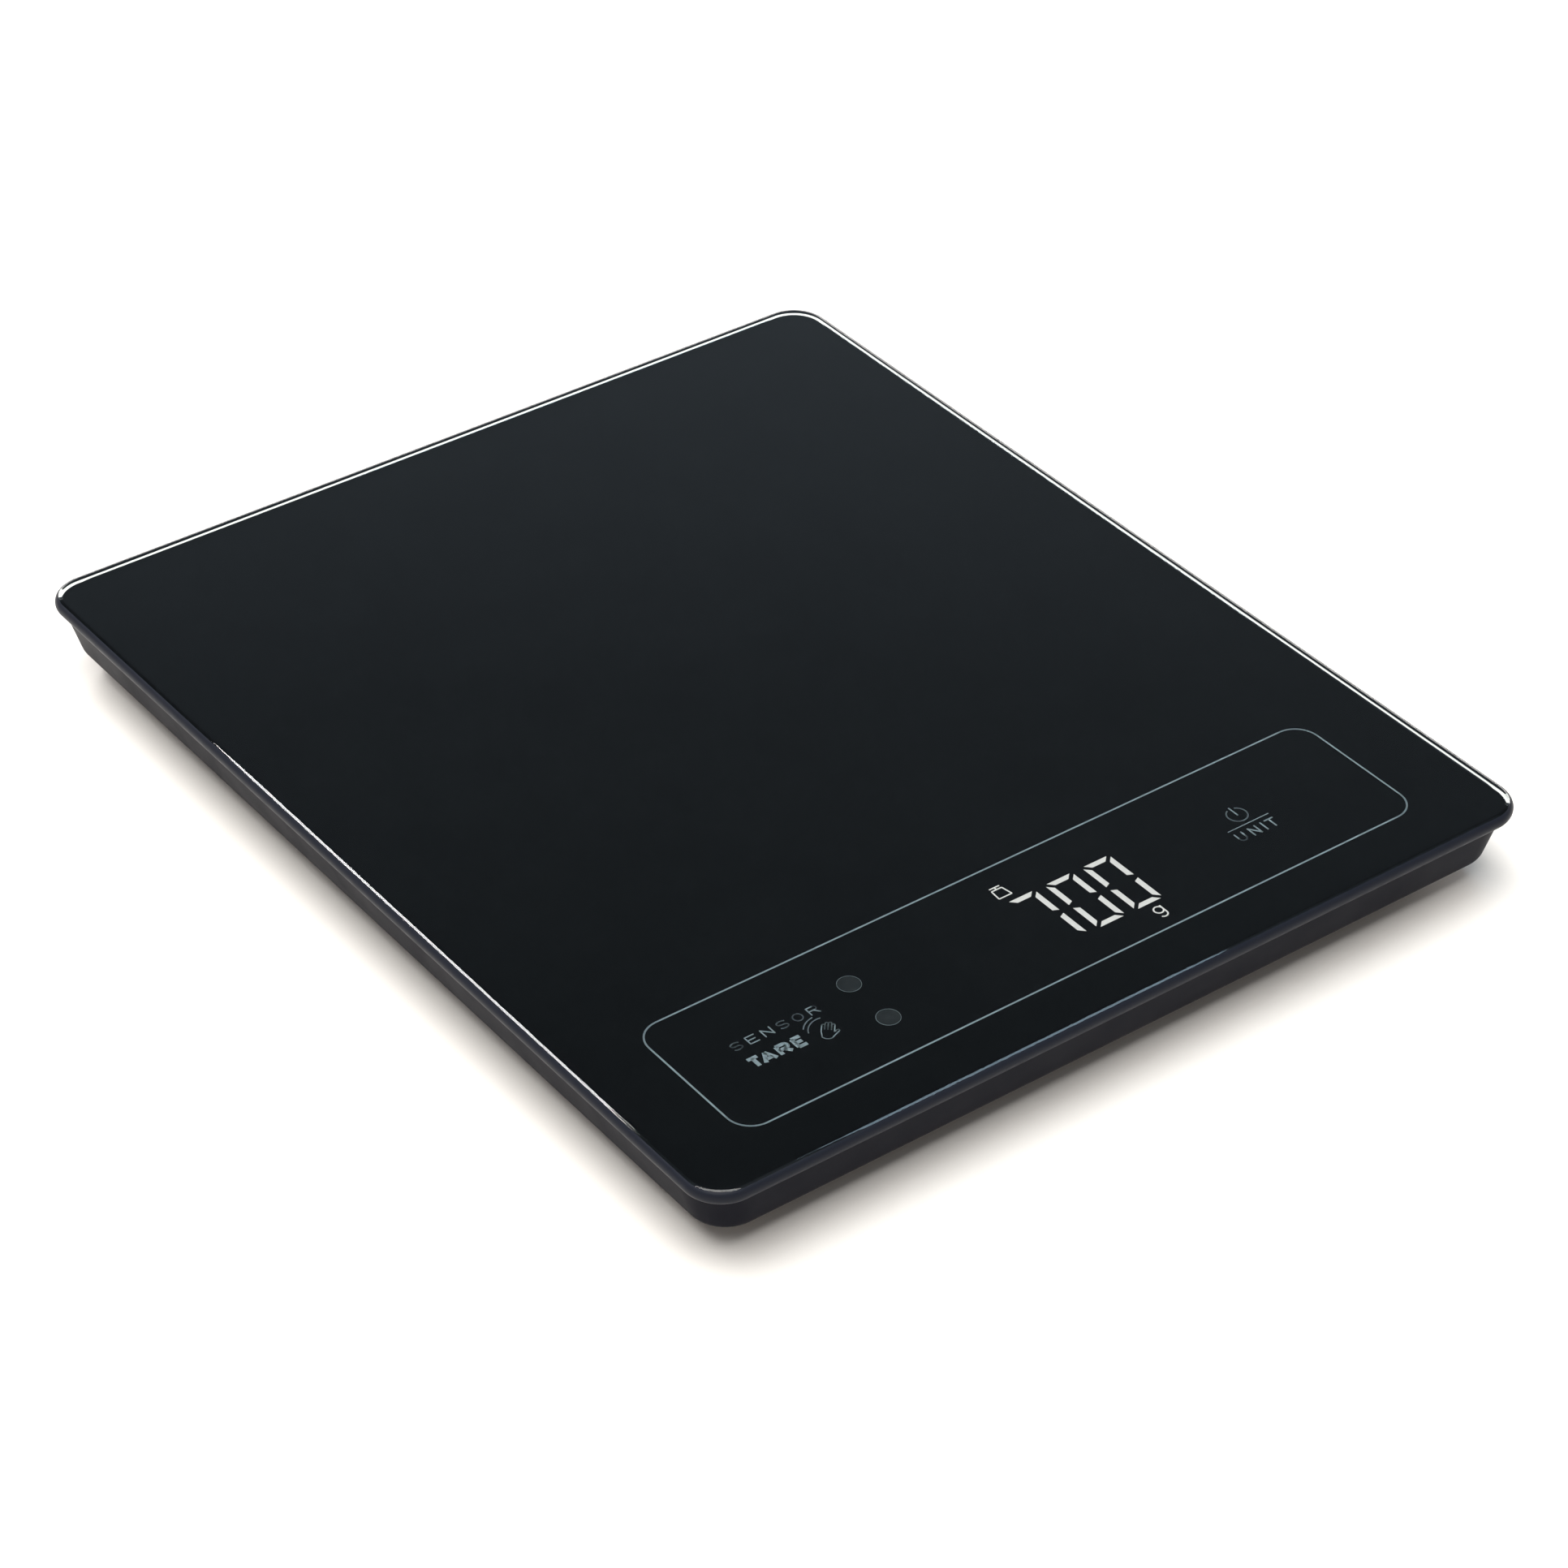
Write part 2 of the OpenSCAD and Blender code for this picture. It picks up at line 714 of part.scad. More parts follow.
glass_platform();
back_print();
display_filter();
sensor_windows();
foam_tape();
tray();
corner(-1, -1) load_cell();  // load_cell_front_left
corner(1, -1) load_cell();  // load_cell_front_right
corner(-1, 1) load_cell();  // load_cell_back_left
corner(1, 1) load_cell();  // load_cell_back_right
corner(-1, -1) strain_gauges();  // strain_gauges_front_left
corner(1, -1) strain_gauges();  // strain_gauges_front_right
corner(-1, 1) strain_gauges();  // strain_gauges_back_left
corner(1, 1) strain_gauges();  // strain_gauges_back_right
load_cell_screws();
corner(-1, -1) foot_cup();  // foot_front_left
corner(1, -1) foot_cup();  // foot_front_right
corner(-1, 1) foot_cup();  // foot_back_left
corner(1, 1) foot_cup();  // foot_back_right
corner(-1, -1) foot_pad();  // foot_pad_front_left
corner(1, -1) foot_pad();  // foot_pad_front_right
corner(-1, 1) foot_pad();  // foot_pad_back_left
corner(1, 1) foot_pad();  // foot_pad_back_right
corner(-1, -1) foot_screw();  // foot_screw_front_left
corner(1, -1) foot_screw();  // foot_screw_front_right
corner(-1, 1) foot_screw();  // foot_screw_back_left
corner(1, 1) foot_screw();  // foot_screw_back_right
cell_cable(mirrored(front_route));  // cell_cable_front_left
cell_cable(front_route);  // cell_cable_front_right
cell_cable(mirrored(back_route));  // cell_cable_back_left
cell_cable(back_route);  // cell_cable_back_right
control_board();
board_screws();
controller_chip();
converter_chip();
chip_resistors();
plug_headers();
buzzer();
display_housing();
display_strokes();
infrared_emitter();
infrared_receiver();
sensor_shroud();
unit_key_spring();
battery(1);  // battery_1
battery(2);  // battery_2
battery(3);  // battery_3
battery_springs();
battery_contacts();
battery_lead_red();
battery_lead_black();
battery_door();
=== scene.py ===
import math
import bmesh
import bpy
from mathutils import Matrix, Quaternion, Vector


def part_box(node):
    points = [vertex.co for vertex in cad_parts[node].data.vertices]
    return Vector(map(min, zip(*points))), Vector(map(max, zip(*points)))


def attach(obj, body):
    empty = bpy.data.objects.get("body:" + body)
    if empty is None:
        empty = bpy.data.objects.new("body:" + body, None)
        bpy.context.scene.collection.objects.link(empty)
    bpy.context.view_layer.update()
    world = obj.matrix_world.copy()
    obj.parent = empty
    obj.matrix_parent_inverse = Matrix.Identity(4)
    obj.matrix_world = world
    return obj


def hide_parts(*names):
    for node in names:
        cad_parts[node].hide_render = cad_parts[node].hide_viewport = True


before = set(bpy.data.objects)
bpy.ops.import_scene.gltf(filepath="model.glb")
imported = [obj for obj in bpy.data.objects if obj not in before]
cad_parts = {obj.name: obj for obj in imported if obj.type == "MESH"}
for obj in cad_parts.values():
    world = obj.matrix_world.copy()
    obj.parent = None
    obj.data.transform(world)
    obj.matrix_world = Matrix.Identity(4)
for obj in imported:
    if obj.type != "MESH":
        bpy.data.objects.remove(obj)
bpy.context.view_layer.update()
mm = 0.001

# ---- Camera, floor and studio light ----
# The scale stands on a pale floor, and the camera looks down at its front left corner. Softboxes overhead,
# at the back and at the right draw the bright lines on the left and front edges of the glass, and a low
# strip lights the floor behind it.

glass_low, glass_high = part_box("glass_platform")


def turned_to(direction, up=(0, 0, 1)):
    """The turn that points -Z along the direction, with +Y as near to up as it can be."""
    back = -direction.normalized()
    side = Vector(up).cross(back).normalized()
    return Matrix((side, back.cross(side), back)).transposed().to_quaternion()


camera_azimuth = math.radians(-36.675)
camera_elevation = math.radians(36.663)
camera_roll = math.radians(0.169)
camera_distance = 0.85965
aim = Vector((-14.29 * mm, -26.37 * mm, glass_high.z))
towards_camera = Vector((math.sin(camera_azimuth) * math.cos(camera_elevation),
                         -math.cos(camera_azimuth) * math.cos(camera_elevation),
                         math.sin(camera_elevation)))
camera = bpy.data.objects.new("camera", bpy.data.cameras.new("camera"))
camera.data.lens = 104.749
camera.data.sensor_width = 36.0
camera.location = aim + camera_distance * towards_camera
camera.rotation_mode = "QUATERNION"
camera.rotation_quaternion = turned_to(-towards_camera) @ Quaternion((0, 0, 1), camera_roll)
bpy.context.scene.collection.objects.link(camera)
bpy.context.scene.camera = camera


def softbox(name, place, size, watts, colour, up=(0, 0, 1)):
    lamp = bpy.data.lights.new(name, "AREA")
    lamp.shape = "RECTANGLE"
    lamp.size = size[0]
    lamp.size_y = size[1]
    lamp.energy = watts
    lamp.color = colour
    stand = bpy.data.objects.new(name, lamp)
    stand.location = place
    stand.rotation_mode = "QUATERNION"
    stand.rotation_quaternion = turned_to(-Vector(place), up)
    bpy.context.scene.collection.objects.link(stand)


softbox("overhead_softbox", (-0.3, -0.15, 1.7), (1.8, 1.8), 46, (1.0, 0.99, 0.97), (0, 1, 0))
softbox("left_softbox", (-0.17, 0.92, 1.05), (0.28, 0.74), 10, (1.0, 1.0, 1.0), (1, 0, 0))
softbox("right_softbox", (0.62, 0.02, 1.13), (0.2, 0.6), 1.7, (0.6, 0.82, 1.0), (0, 1, 0))
softbox("back_strip", (1.25, 1.6, 0.48), (3.4, 0.92), 24, (0.95, 0.97, 1.0))

# the room: bright at the horizon, dim where the glass mirrors it, a little lighter overhead
room = bpy.data.worlds.new("studio_room")
room.use_nodes = True
room_nodes = room.node_tree.nodes
room_direction = room_nodes.new("ShaderNodeTexCoord")
room_height = room_nodes.new("ShaderNodeSeparateXYZ")
room_ramp = room_nodes.new("ShaderNodeValToRGB")
room.node_tree.links.new(room_direction.outputs["Generated"], room_height.inputs["Vector"])
room.node_tree.links.new(room_height.outputs["Z"], room_ramp.inputs["Fac"])
room.node_tree.links.new(room_ramp.outputs["Color"], room_nodes["Background"].inputs["Color"])
room_ramp.color_ramp.elements[0].position = 0.41
room_ramp.color_ramp.elements[0].color = (0.6, 0.52, 0.45, 1)
room_ramp.color_ramp.elements[1].position = 1.0
room_ramp.color_ramp.elements[1].color = (0.4, 0.4, 0.4, 1)
room_tint = (0.84, 1.0, 1.15)
for place, level in ((0.47, 0.42), (0.52, 0.29), (0.58, 0.16), (0.64, 0.1), (0.72, 0.07), (0.85, 0.3)):
    stop = room_ramp.color_ramp.elements.new(place)
    stop.color = (*(level * share for share in room_tint), 1)
bpy.context.scene.world = room
bpy.context.scene.view_settings.view_transform = "Standard"


def new_material(name, colour, roughness, metallic=0.0):
    made = bpy.data.materials.new(name)
    made.use_nodes = True
    shader = made.node_tree.nodes["Principled BSDF"]
    shader.inputs["Base Color"].default_value = (*colour, 1)
    shader.inputs["Roughness"].default_value = roughness
    shader.inputs["Metallic"].default_value = metallic
    return made, shader


def add_noise(made, scale, detail=3.0, stretch=(1, 1, 1)):
    """Noise on the object's own coordinates; scale is in features per metre."""
    nodes = made.node_tree.nodes
    place = nodes.new("ShaderNodeTexCoord")
    mapping = nodes.new("ShaderNodeMapping")
    mapping.inputs["Scale"].default_value = stretch
    noise = nodes.new("ShaderNodeTexNoise")
    noise.inputs["Scale"].default_value = scale
    noise.inputs["Detail"].default_value = detail
    made.node_tree.links.new(place.outputs["Object"], mapping.inputs["Vector"])
    made.node_tree.links.new(mapping.outputs["Vector"], noise.inputs["Vector"])
    return noise.outputs["Fac"]


def vary_colour(made, shader, source, low, high):
    ramp = made.node_tree.nodes.new("ShaderNodeValToRGB")
    ramp.color_ramp.elements[0].position = 0.35
    ramp.color_ramp.elements[0].color = (*low, 1)
    ramp.color_ramp.elements[1].position = 0.65
    ramp.color_ramp.elements[1].color = (*high, 1)
    made.node_tree.links.new(source, ramp.inputs["Fac"])
    made.node_tree.links.new(ramp.outputs["Color"], shader.inputs["Base Color"])


floor_paint, shader = new_material("pale_floor", (0.9, 0.86, 0.82), 0.85)
shader.inputs["Specular IOR Level"].default_value = 0.1
vary_colour(floor_paint, shader, add_noise(floor_paint, 1.5), (0.9, 0.86, 0.815), (0.91, 0.87, 0.825))
floor_half = 3.0
floor_mesh = bpy.data.meshes.new("floor")
floor_corners = ((-1, -1), (1, -1), (1, 1), (-1, 1))
floor_mesh.from_pydata([(x * floor_half, y * floor_half, 0) for x, y in floor_corners], [], [(0, 1, 2, 3)])
floor = bpy.data.objects.new("floor", floor_mesh)
floor_mesh.materials.append(floor_paint)
bpy.context.scene.collection.objects.link(floor)


# ---- Tray ----
# One moulding in dark grey ABS with a fine spark-eroded texture. Its walls lean in to a rounded lower
# edge. The foot wells, the battery box, the screw bosses, the ribs and the hinge ears are part of it.
# Every sharp edge of the mould leaves a small radius.

weld_gap, flat_angle, crease = 0.002 * mm, 0.6, 32


def add_bump(made, shader, source, depth, strength=1.0):
    bump = made.node_tree.nodes.new("ShaderNodeBump")
    bump.inputs["Strength"].default_value = strength
    bump.inputs["Distance"].default_value = depth
    made.node_tree.links.new(source, bump.inputs["Height"])
    made.node_tree.links.new(bump.outputs["Normal"], shader.inputs["Normal"])


def vary_roughness(made, shader, source, low, high):
    spread = made.node_tree.nodes.new("ShaderNodeMapRange")
    spread.inputs["From Min"].default_value = 0.3
    spread.inputs["From Max"].default_value = 0.7
    spread.inputs["To Min"].default_value = low
    spread.inputs["To Max"].default_value = high
    made.node_tree.links.new(source, spread.inputs["Value"])
    made.node_tree.links.new(spread.outputs["Result"], shader.inputs["Roughness"])


def worn_material(name, colour, low, high, scale, detail=3.0, metallic=0.0):
    """A material whose roughness wanders from low to high, with noise of the given scale."""
    made, shader = new_material(name, colour, low, metallic)
    vary_roughness(made, shader, add_noise(made, scale, detail), low, high)
    return made


tray_plastic, shader = new_material("tray_plastic", (0.009, 0.0095, 0.014), 0.42)
shader.inputs["Specular IOR Level"].default_value = 0.02
grain = add_noise(tray_plastic, 2600, 2.0)
add_bump(tray_plastic, shader, grain, 0.00002, 0.35)
vary_roughness(tray_plastic, shader, add_noise(tray_plastic, 90, 4.0), 0.36, 0.46)


def new_piece(name, mesh, material, body, slot, *nodes):
    piece = bpy.data.objects.new(name, mesh)
    bpy.context.scene.collection.objects.link(piece)
    if material is not None:
        mesh.materials.clear()
        mesh.materials.append(material)
    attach(piece, body)
    if nodes:
        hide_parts(*nodes)
    return piece


def merged_copy(node):
    """The CAD node's mesh with its loose triangles joined and its flat faces made whole."""
    shape = bmesh.new()
    shape.from_mesh(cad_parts[node].data)
    bmesh.ops.remove_doubles(shape, verts=shape.verts, dist=weld_gap)
    bmesh.ops.dissolve_limit(shape, angle_limit=math.radians(flat_angle), verts=shape.verts,
                             edges=shape.edges)
    return shape


def shaded_mesh(shape, name, sharp=crease):
    mesh = bpy.data.meshes.new(name)
    shape.to_mesh(mesh)
    shape.free()
    mesh.shade_smooth()
    mesh.set_sharp_from_angle(angle=math.radians(sharp))
    return mesh


def round_edges(piece, radius, segments=2):
    bevel = piece.modifiers.new("edge_radius", "BEVEL")
    bevel.limit_method = "ANGLE"
    bevel.angle_limit = math.radians(crease)
    bevel.width = radius
    bevel.segments = segments
    bevel.harden_normals = True


def worked_piece(node, name, material, body, slot, radius):
    piece = new_piece(name, shaded_mesh(merged_copy(node), name), material, body, slot, node)
    if radius:
        round_edges(piece, radius)
    return piece


worked_piece("tray", "tray_moulding", tray_plastic, "scale_body", "tray_plastic", 0.15 * mm)


# ---- Feet ----
# Each foot is a turned cup of dark grey plastic on the free end of a load cell, with a glued pad of
# black rubber whose ring stands on the table. One steel screw holds cup and cell together.

foot_plastic, shader = new_material("foot_plastic", (0.02, 0.021, 0.026), 0.4)
add_bump(foot_plastic, shader, add_noise(foot_plastic, 2200, 2.0), 0.00002, 0.3)
rubber, shader = new_material("pad_rubber", (0.012, 0.012, 0.013), 0.78)
rubber_grain = add_noise(rubber, 1500, 4.0)
add_bump(rubber, shader, rubber_grain, 0.00004, 0.5)
vary_roughness(rubber, shader, add_noise(rubber, 300), 0.68, 0.85)
screw_steel = worn_material("zinc_plated_steel", (0.55, 0.56, 0.58), 0.24, 0.42, 900, 4.0, metallic=1.0)


def turned_mesh(name, profile, centre, steps=64):
    """A lathe-turned solid: profile is a list of (radius, height) in millimetres, from axis to axis."""
    shape = bmesh.new()
    rings = []
    for radius, height in profile:
        if radius == 0:
            rings.append([shape.verts.new((centre.x, centre.y, height * mm))])
        else:
            turns = [2 * math.pi * k / steps for k in range(steps)]
            rings.append([shape.verts.new((centre.x + radius * mm * math.cos(a),
                                           centre.y + radius * mm * math.sin(a), height * mm))
                          for a in turns])
    for low, high in zip(rings, rings[1:]):
        for k in range(steps):
            after = (k + 1) % steps
            face = [low[k % len(low)], low[after % len(low)], high[after % len(high)], high[k % len(high)]]
            shape.faces.new(list(dict.fromkeys(face)))
    bmesh.ops.recalc_face_normals(shape, faces=shape.faces)
    return shaded_mesh(shape, name)


cup_profile = [(0, 2.5), (7.6, 2.5), (7.6, 1.7), (7.75, 1.52), (8.4, 1.5), (8.75, 1.62), (8.95, 1.95),
               (9, 2.3), (9, 7.9), (8.9, 8.12), (8.7, 8.2), (4.7, 8.2), (4.5, 8.35), (4.5, 9), (1.5, 9),
               (1.5, 5), (0, 5)]
pad_profile = [(0, 0.3), (2.2, 0.3), (2.5, 0.45), (2.8, 0.45), (3.1, 0.25), (3.35, 0.05), (3.6, 0),
               (4.7, 0), (4.8, 0.14), (5.0, 0.14), (5.1, 0), (6.45, 0), (6.75, 0.05), (7.05, 0.25),
               (7.2, 0.55), (7.2, 1.5), (7.55, 1.5), (7.55, 2.5), (0, 2.5)]
corners = ("front_left", "front_right", "back_left", "back_right")
foot_centres = {}
for corner in corners:
    low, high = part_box("foot_" + corner)
    foot_centres[corner] = (low + high) / 2
    unit = "foot_unit_" + corner
    new_piece("foot_cup_" + corner, turned_mesh("foot_cup", cup_profile, foot_centres[corner]),
              foot_plastic, unit, "foot_plastic", "foot_" + corner)
    new_piece("rubber_pad_" + corner, turned_mesh("rubber_pad", pad_profile, foot_centres[corner]),
              rubber, unit, "rubber", "foot_pad_" + corner)


def new_tree(name, sizes):
    """A Geometry Nodes tree with a mesh input, one named input for each size, and a material."""
    tree = bpy.data.node_groups.new(name, "GeometryNodeTree")
    tree.interface.new_socket("Geometry", in_out="INPUT", socket_type="NodeSocketGeometry")
    for label, value in sizes.items():
        kind = "NodeSocketInt" if isinstance(value, int) else "NodeSocketFloat"
        tree.interface.new_socket(label, in_out="INPUT", socket_type=kind).default_value = value
    tree.interface.new_socket("Material", in_out="INPUT", socket_type="NodeSocketMaterial")
    tree.interface.new_socket("Geometry", in_out="OUTPUT", socket_type="NodeSocketGeometry")
    return tree, tree.nodes.new("NodeGroupInput"), tree.nodes.new("NodeGroupOutput")


def add_node(tree, kind, links, **settings):
    """A node with its settings, and a socket or a plain value on each named or numbered input."""
    made = tree.nodes.new(kind)
    for key, value in settings.items():
        setattr(made, key, value)
    for socket, value in links.items():
        if isinstance(value, bpy.types.NodeSocket):
            tree.links.new(value, made.inputs[socket])
        else:
            made.inputs[socket].default_value = value
    return made


def close_tree(tree, inputs, outputs, geometry):
    real = add_node(tree, "GeometryNodeRealizeInstances", {"Geometry": geometry})
    dressed = add_node(tree, "GeometryNodeSetMaterial",
                       {"Geometry": real.outputs["Geometry"], "Material": inputs.outputs["Material"]})
    tree.links.new(dressed.outputs["Geometry"], outputs.inputs["Geometry"])


def grown_mesh(name, seed_mesh, tree, values, material, sharp=crease):
    """What the tree makes of the seed mesh, as a plain mesh with its faces turned outwards."""
    seed = bpy.data.objects.new(name + "_seed", seed_mesh)
    bpy.context.scene.collection.objects.link(seed)
    grower = seed.modifiers.new("grow", "NODES")
    grower.node_group = tree
    for item in tree.interface.items_tree:
        if item.in_out == "INPUT" and item.name in values:
            grower[item.identifier] = values[item.name]
        if item.in_out == "INPUT" and item.name == "Material":
            grower[item.identifier] = material
    evaluated = seed.evaluated_get(bpy.context.evaluated_depsgraph_get())
    mesh = bpy.data.meshes.new_from_object(evaluated)
    bpy.data.objects.remove(seed)
    shape = bmesh.new()
    shape.from_mesh(mesh)
    bmesh.ops.remove_doubles(shape, verts=shape.verts, dist=0.0005 * mm)
    bmesh.ops.recalc_face_normals(shape, faces=shape.faces)
    shape.to_mesh(mesh)
    shape.free()
    mesh.name = name
    mesh.shade_smooth()
    mesh.set_sharp_from_angle(angle=math.radians(sharp))
    return mesh


def points_mesh(points, edges=()):
    mesh = bpy.data.meshes.new("points")
    mesh.from_pydata([tuple(p) for p in points], list(edges), [])
    return mesh


def scaled(tree, value, factor):
    return add_node(tree, "ShaderNodeMath", {0: value, 1: factor}, operation="MULTIPLY").outputs[0]


def raised(tree, geometry, height):
    shift = add_node(tree, "ShaderNodeCombineXYZ", {"Z": height})
    return add_node(tree, "GeometryNodeTransform",
                    {"Geometry": geometry, "Translation": shift.outputs[0]}).outputs["Geometry"]


# a pan-head screw: turned head and shank, a cross recess, and a thread that climbs the shank
screw_tree, inputs, outputs = new_tree("pan_head_screw", {"Head radius": 0.0029, "Head height": 0.0016,
                                                          "Shank radius": 0.0015, "Length": 0.0058,
                                                          "Pitch": 0.0006})
screw_size = inputs.outputs
head_radius, head_height = screw_size["Head radius"], screw_size["Head height"]
shank_radius, shank_length = screw_size["Shank radius"], screw_size["Length"]
half_head = scaled(screw_tree, head_height, 0.5)
head_rim = add_node(screw_tree, "GeometryNodeMeshCylinder",
                    {"Vertices": 32, "Radius": head_radius, "Depth": half_head})
head_crown = add_node(screw_tree, "GeometryNodeMeshCone",
                      {"Vertices": 32, "Radius Top": scaled(screw_tree, head_radius, 0.68),
                       "Radius Bottom": head_radius, "Depth": half_head})
head = add_node(screw_tree, "GeometryNodeMeshBoolean", {}, operation="UNION")
screw_tree.links.new(raised(screw_tree, head_rim.outputs["Mesh"], scaled(screw_tree, head_height, 0.25)),
                     head.inputs["Mesh 2"])
screw_tree.links.new(raised(screw_tree, head_crown.outputs["Mesh"], half_head), head.inputs["Mesh 2"])
recessed = add_node(screw_tree, "GeometryNodeMeshBoolean", {"Mesh 1": head.outputs["Mesh"]},
                    operation="DIFFERENCE")
bar_length, bar_width = scaled(screw_tree, head_radius, 1.05), scaled(screw_tree, head_radius, 0.19)
for x, y in ((bar_length, bar_width), (bar_width, bar_length)):
    bar_size = add_node(screw_tree, "ShaderNodeCombineXYZ", {"X": x, "Y": y, "Z": head_height})
    bar = add_node(screw_tree, "GeometryNodeMeshCube", {"Size": bar_size.outputs[0]})
    screw_tree.links.new(raised(screw_tree, bar.outputs["Mesh"], head_height), recessed.inputs["Mesh 2"])
shank = add_node(screw_tree, "GeometryNodeMeshCylinder",
                 {"Vertices": 24, "Radius": scaled(screw_tree, shank_radius, 0.86), "Depth": shank_length})
all_turns = add_node(screw_tree, "ShaderNodeMath", {0: shank_length, 1: screw_size["Pitch"]},
                     operation="DIVIDE")
thread_turns = add_node(screw_tree, "ShaderNodeMath", {0: all_turns.outputs[0], 1: 1.0},
                        operation="SUBTRACT").outputs[0]
thread_radius = scaled(screw_tree, shank_radius, 0.9)
thread_path = add_node(screw_tree, "GeometryNodeCurveSpiral",
                       {"Resolution": 20, "Rotations": thread_turns, "Start Radius": thread_radius,
                        "End Radius": thread_radius,
                        "Height": scaled(screw_tree, thread_turns, screw_size["Pitch"])})
thread_ring = add_node(screw_tree, "GeometryNodeCurvePrimitiveCircle",
                       {"Resolution": 4, "Radius": scaled(screw_tree, shank_radius, 0.1)})
thread = add_node(screw_tree, "GeometryNodeCurveToMesh",
                  {"Curve": thread_path.outputs["Curve"], "Profile Curve": thread_ring.outputs["Curve"],
                   "Fill Caps": True})
whole_screw = add_node(screw_tree, "GeometryNodeJoinGeometry", {})
for part in (recessed.outputs["Mesh"],
             raised(screw_tree, shank.outputs["Mesh"], scaled(screw_tree, shank_length, -0.5)),
             raised(screw_tree, thread.outputs["Mesh"], scaled(screw_tree, shank_length, -0.98))):
    screw_tree.links.new(part, whole_screw.inputs["Geometry"])
set_screws = add_node(screw_tree, "GeometryNodeInstanceOnPoints",
                      {"Points": screw_size["Geometry"], "Instance": whole_screw.outputs["Geometry"]})
close_tree(screw_tree, inputs, outputs, set_screws.outputs["Instances"])


def screws(name, node, places, body, head_radius, head_height, shank_radius, length):
    """Screws at the given places under their heads, with sizes in millimetres."""
    sizes = {"Head radius": head_radius * mm, "Head height": head_height * mm,
             "Shank radius": shank_radius * mm, "Length": length * mm}
    mesh = grown_mesh(name, points_mesh(places), screw_tree, sizes, screw_steel)
    return new_piece(name, mesh, screw_steel, body, "screw_steel", node)


cell_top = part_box("load_cell_front_left")[1].z
for corner in corners:
    place = (foot_centres[corner].x, foot_centres[corner].y, cell_top)
    screws("foot_screw_" + corner + "_steel", "foot_screw_" + corner, [place], "foot_unit_" + corner,
           2.9, 1.6, 1.49, 5.8)


# ---- Load cells ----
# Four strips of stamped, brushed spring alloy, each necked where the foil gauges sit. Each is held to
# two tray bosses by self-tapping screws at its inner end, and carries a foot at its outer end.

cell_metal, shader = new_material("brushed_alloy", (0.52, 0.53, 0.54), 0.34, 1.0)
brushed = add_noise(cell_metal, 700, 2.0, (1.0, 0.05, 1.0))
vary_roughness(cell_metal, shader, brushed, 0.26, 0.46)
add_bump(cell_metal, shader, brushed, 0.00001, 0.3)
for corner in corners:
    worked_piece("load_cell_" + corner, "load_cell_strip_" + corner, cell_metal, "scale_body",
                 "load_cell_metal", 0.12 * mm)

cell_screw_offsets = (24 * mm, 33 * mm)
cell_screw_places = [(at.x, at.y - math.copysign(along, at.y), cell_top)
                     for at in foot_centres.values() for along in cell_screw_offsets]
screws("load_cell_screws_steel", "load_cell_screws", cell_screw_places, "scale_body",
       2.7, 1.6, 1.24, 4.6)


# ---- Strain gauges ----
# Foil gauges are bonded above and below the neck of each strip, and each pair is buried in a soft dab
# of off-white silicone that bulges a little at its edges.

sealant, shader = new_material("gauge_sealant", (0.78, 0.76, 0.7), 0.45)
lumps = add_noise(sealant, 500, 3.0)
add_bump(sealant, shader, lumps, 0.00015, 0.8)
vary_colour(sealant, shader, lumps, (0.72, 0.7, 0.63), (0.82, 0.8, 0.75))
for corner in corners:
    piece = worked_piece("strain_gauges_" + corner, "gauge_sealant_" + corner, sealant, "scale_body",
                         "gauge_sealant", 0)
    round_edges(piece, 0.28 * mm, 4)


# ---- Control board ----
# A glass-fibre board under green solder mask, held to four tray bosses by screws. Its copper tracks
# show as a slightly lighter green, and every via is a tinned ring.

solder_mask, shader = new_material("green_solder_mask", (0.012, 0.11, 0.05), 0.3)
tracks = solder_mask.node_tree.nodes.new("ShaderNodeTexBrick")
track_place = solder_mask.node_tree.nodes.new("ShaderNodeTexCoord")
solder_mask.node_tree.links.new(track_place.outputs["Object"], tracks.inputs["Vector"])
tracks.inputs["Scale"].default_value = 260
tracks.inputs["Mortar Size"].default_value = 0.03
tracks.inputs["Color1"].default_value = (0.01, 0.095, 0.042, 1)
tracks.inputs["Color2"].default_value = (0.012, 0.12, 0.052, 1)
tracks.inputs["Mortar"].default_value = (0.03, 0.2, 0.1, 1)
solder_mask.node_tree.links.new(tracks.outputs["Color"], shader.inputs["Base Color"])
vary_roughness(solder_mask, shader, add_noise(solder_mask, 300), 0.24, 0.36)
worked_piece("control_board", "green_board", solder_mask, "scale_body", "circuit_board", 0.06 * mm)

copies_tree, inputs, outputs = new_tree("set_copies", {})
copies_tree.interface.new_socket("Shape", in_out="INPUT", socket_type="NodeSocketObject")
shape_in = add_node(copies_tree, "GeometryNodeObjectInfo", {"Object": inputs.outputs["Shape"]})
turn_in = add_node(copies_tree, "GeometryNodeInputNamedAttribute", {"Name": "turn"}, data_type="FLOAT")
turn_z = add_node(copies_tree, "ShaderNodeCombineXYZ", {"Z": turn_in.outputs["Attribute"]})
set_out = add_node(copies_tree, "GeometryNodeInstanceOnPoints",
                   {"Points": inputs.outputs["Geometry"], "Instance": shape_in.outputs["Geometry"],
                    "Rotation": turn_z.outputs["Vector"]})
close_tree(copies_tree, inputs, outputs, set_out.outputs["Instances"])


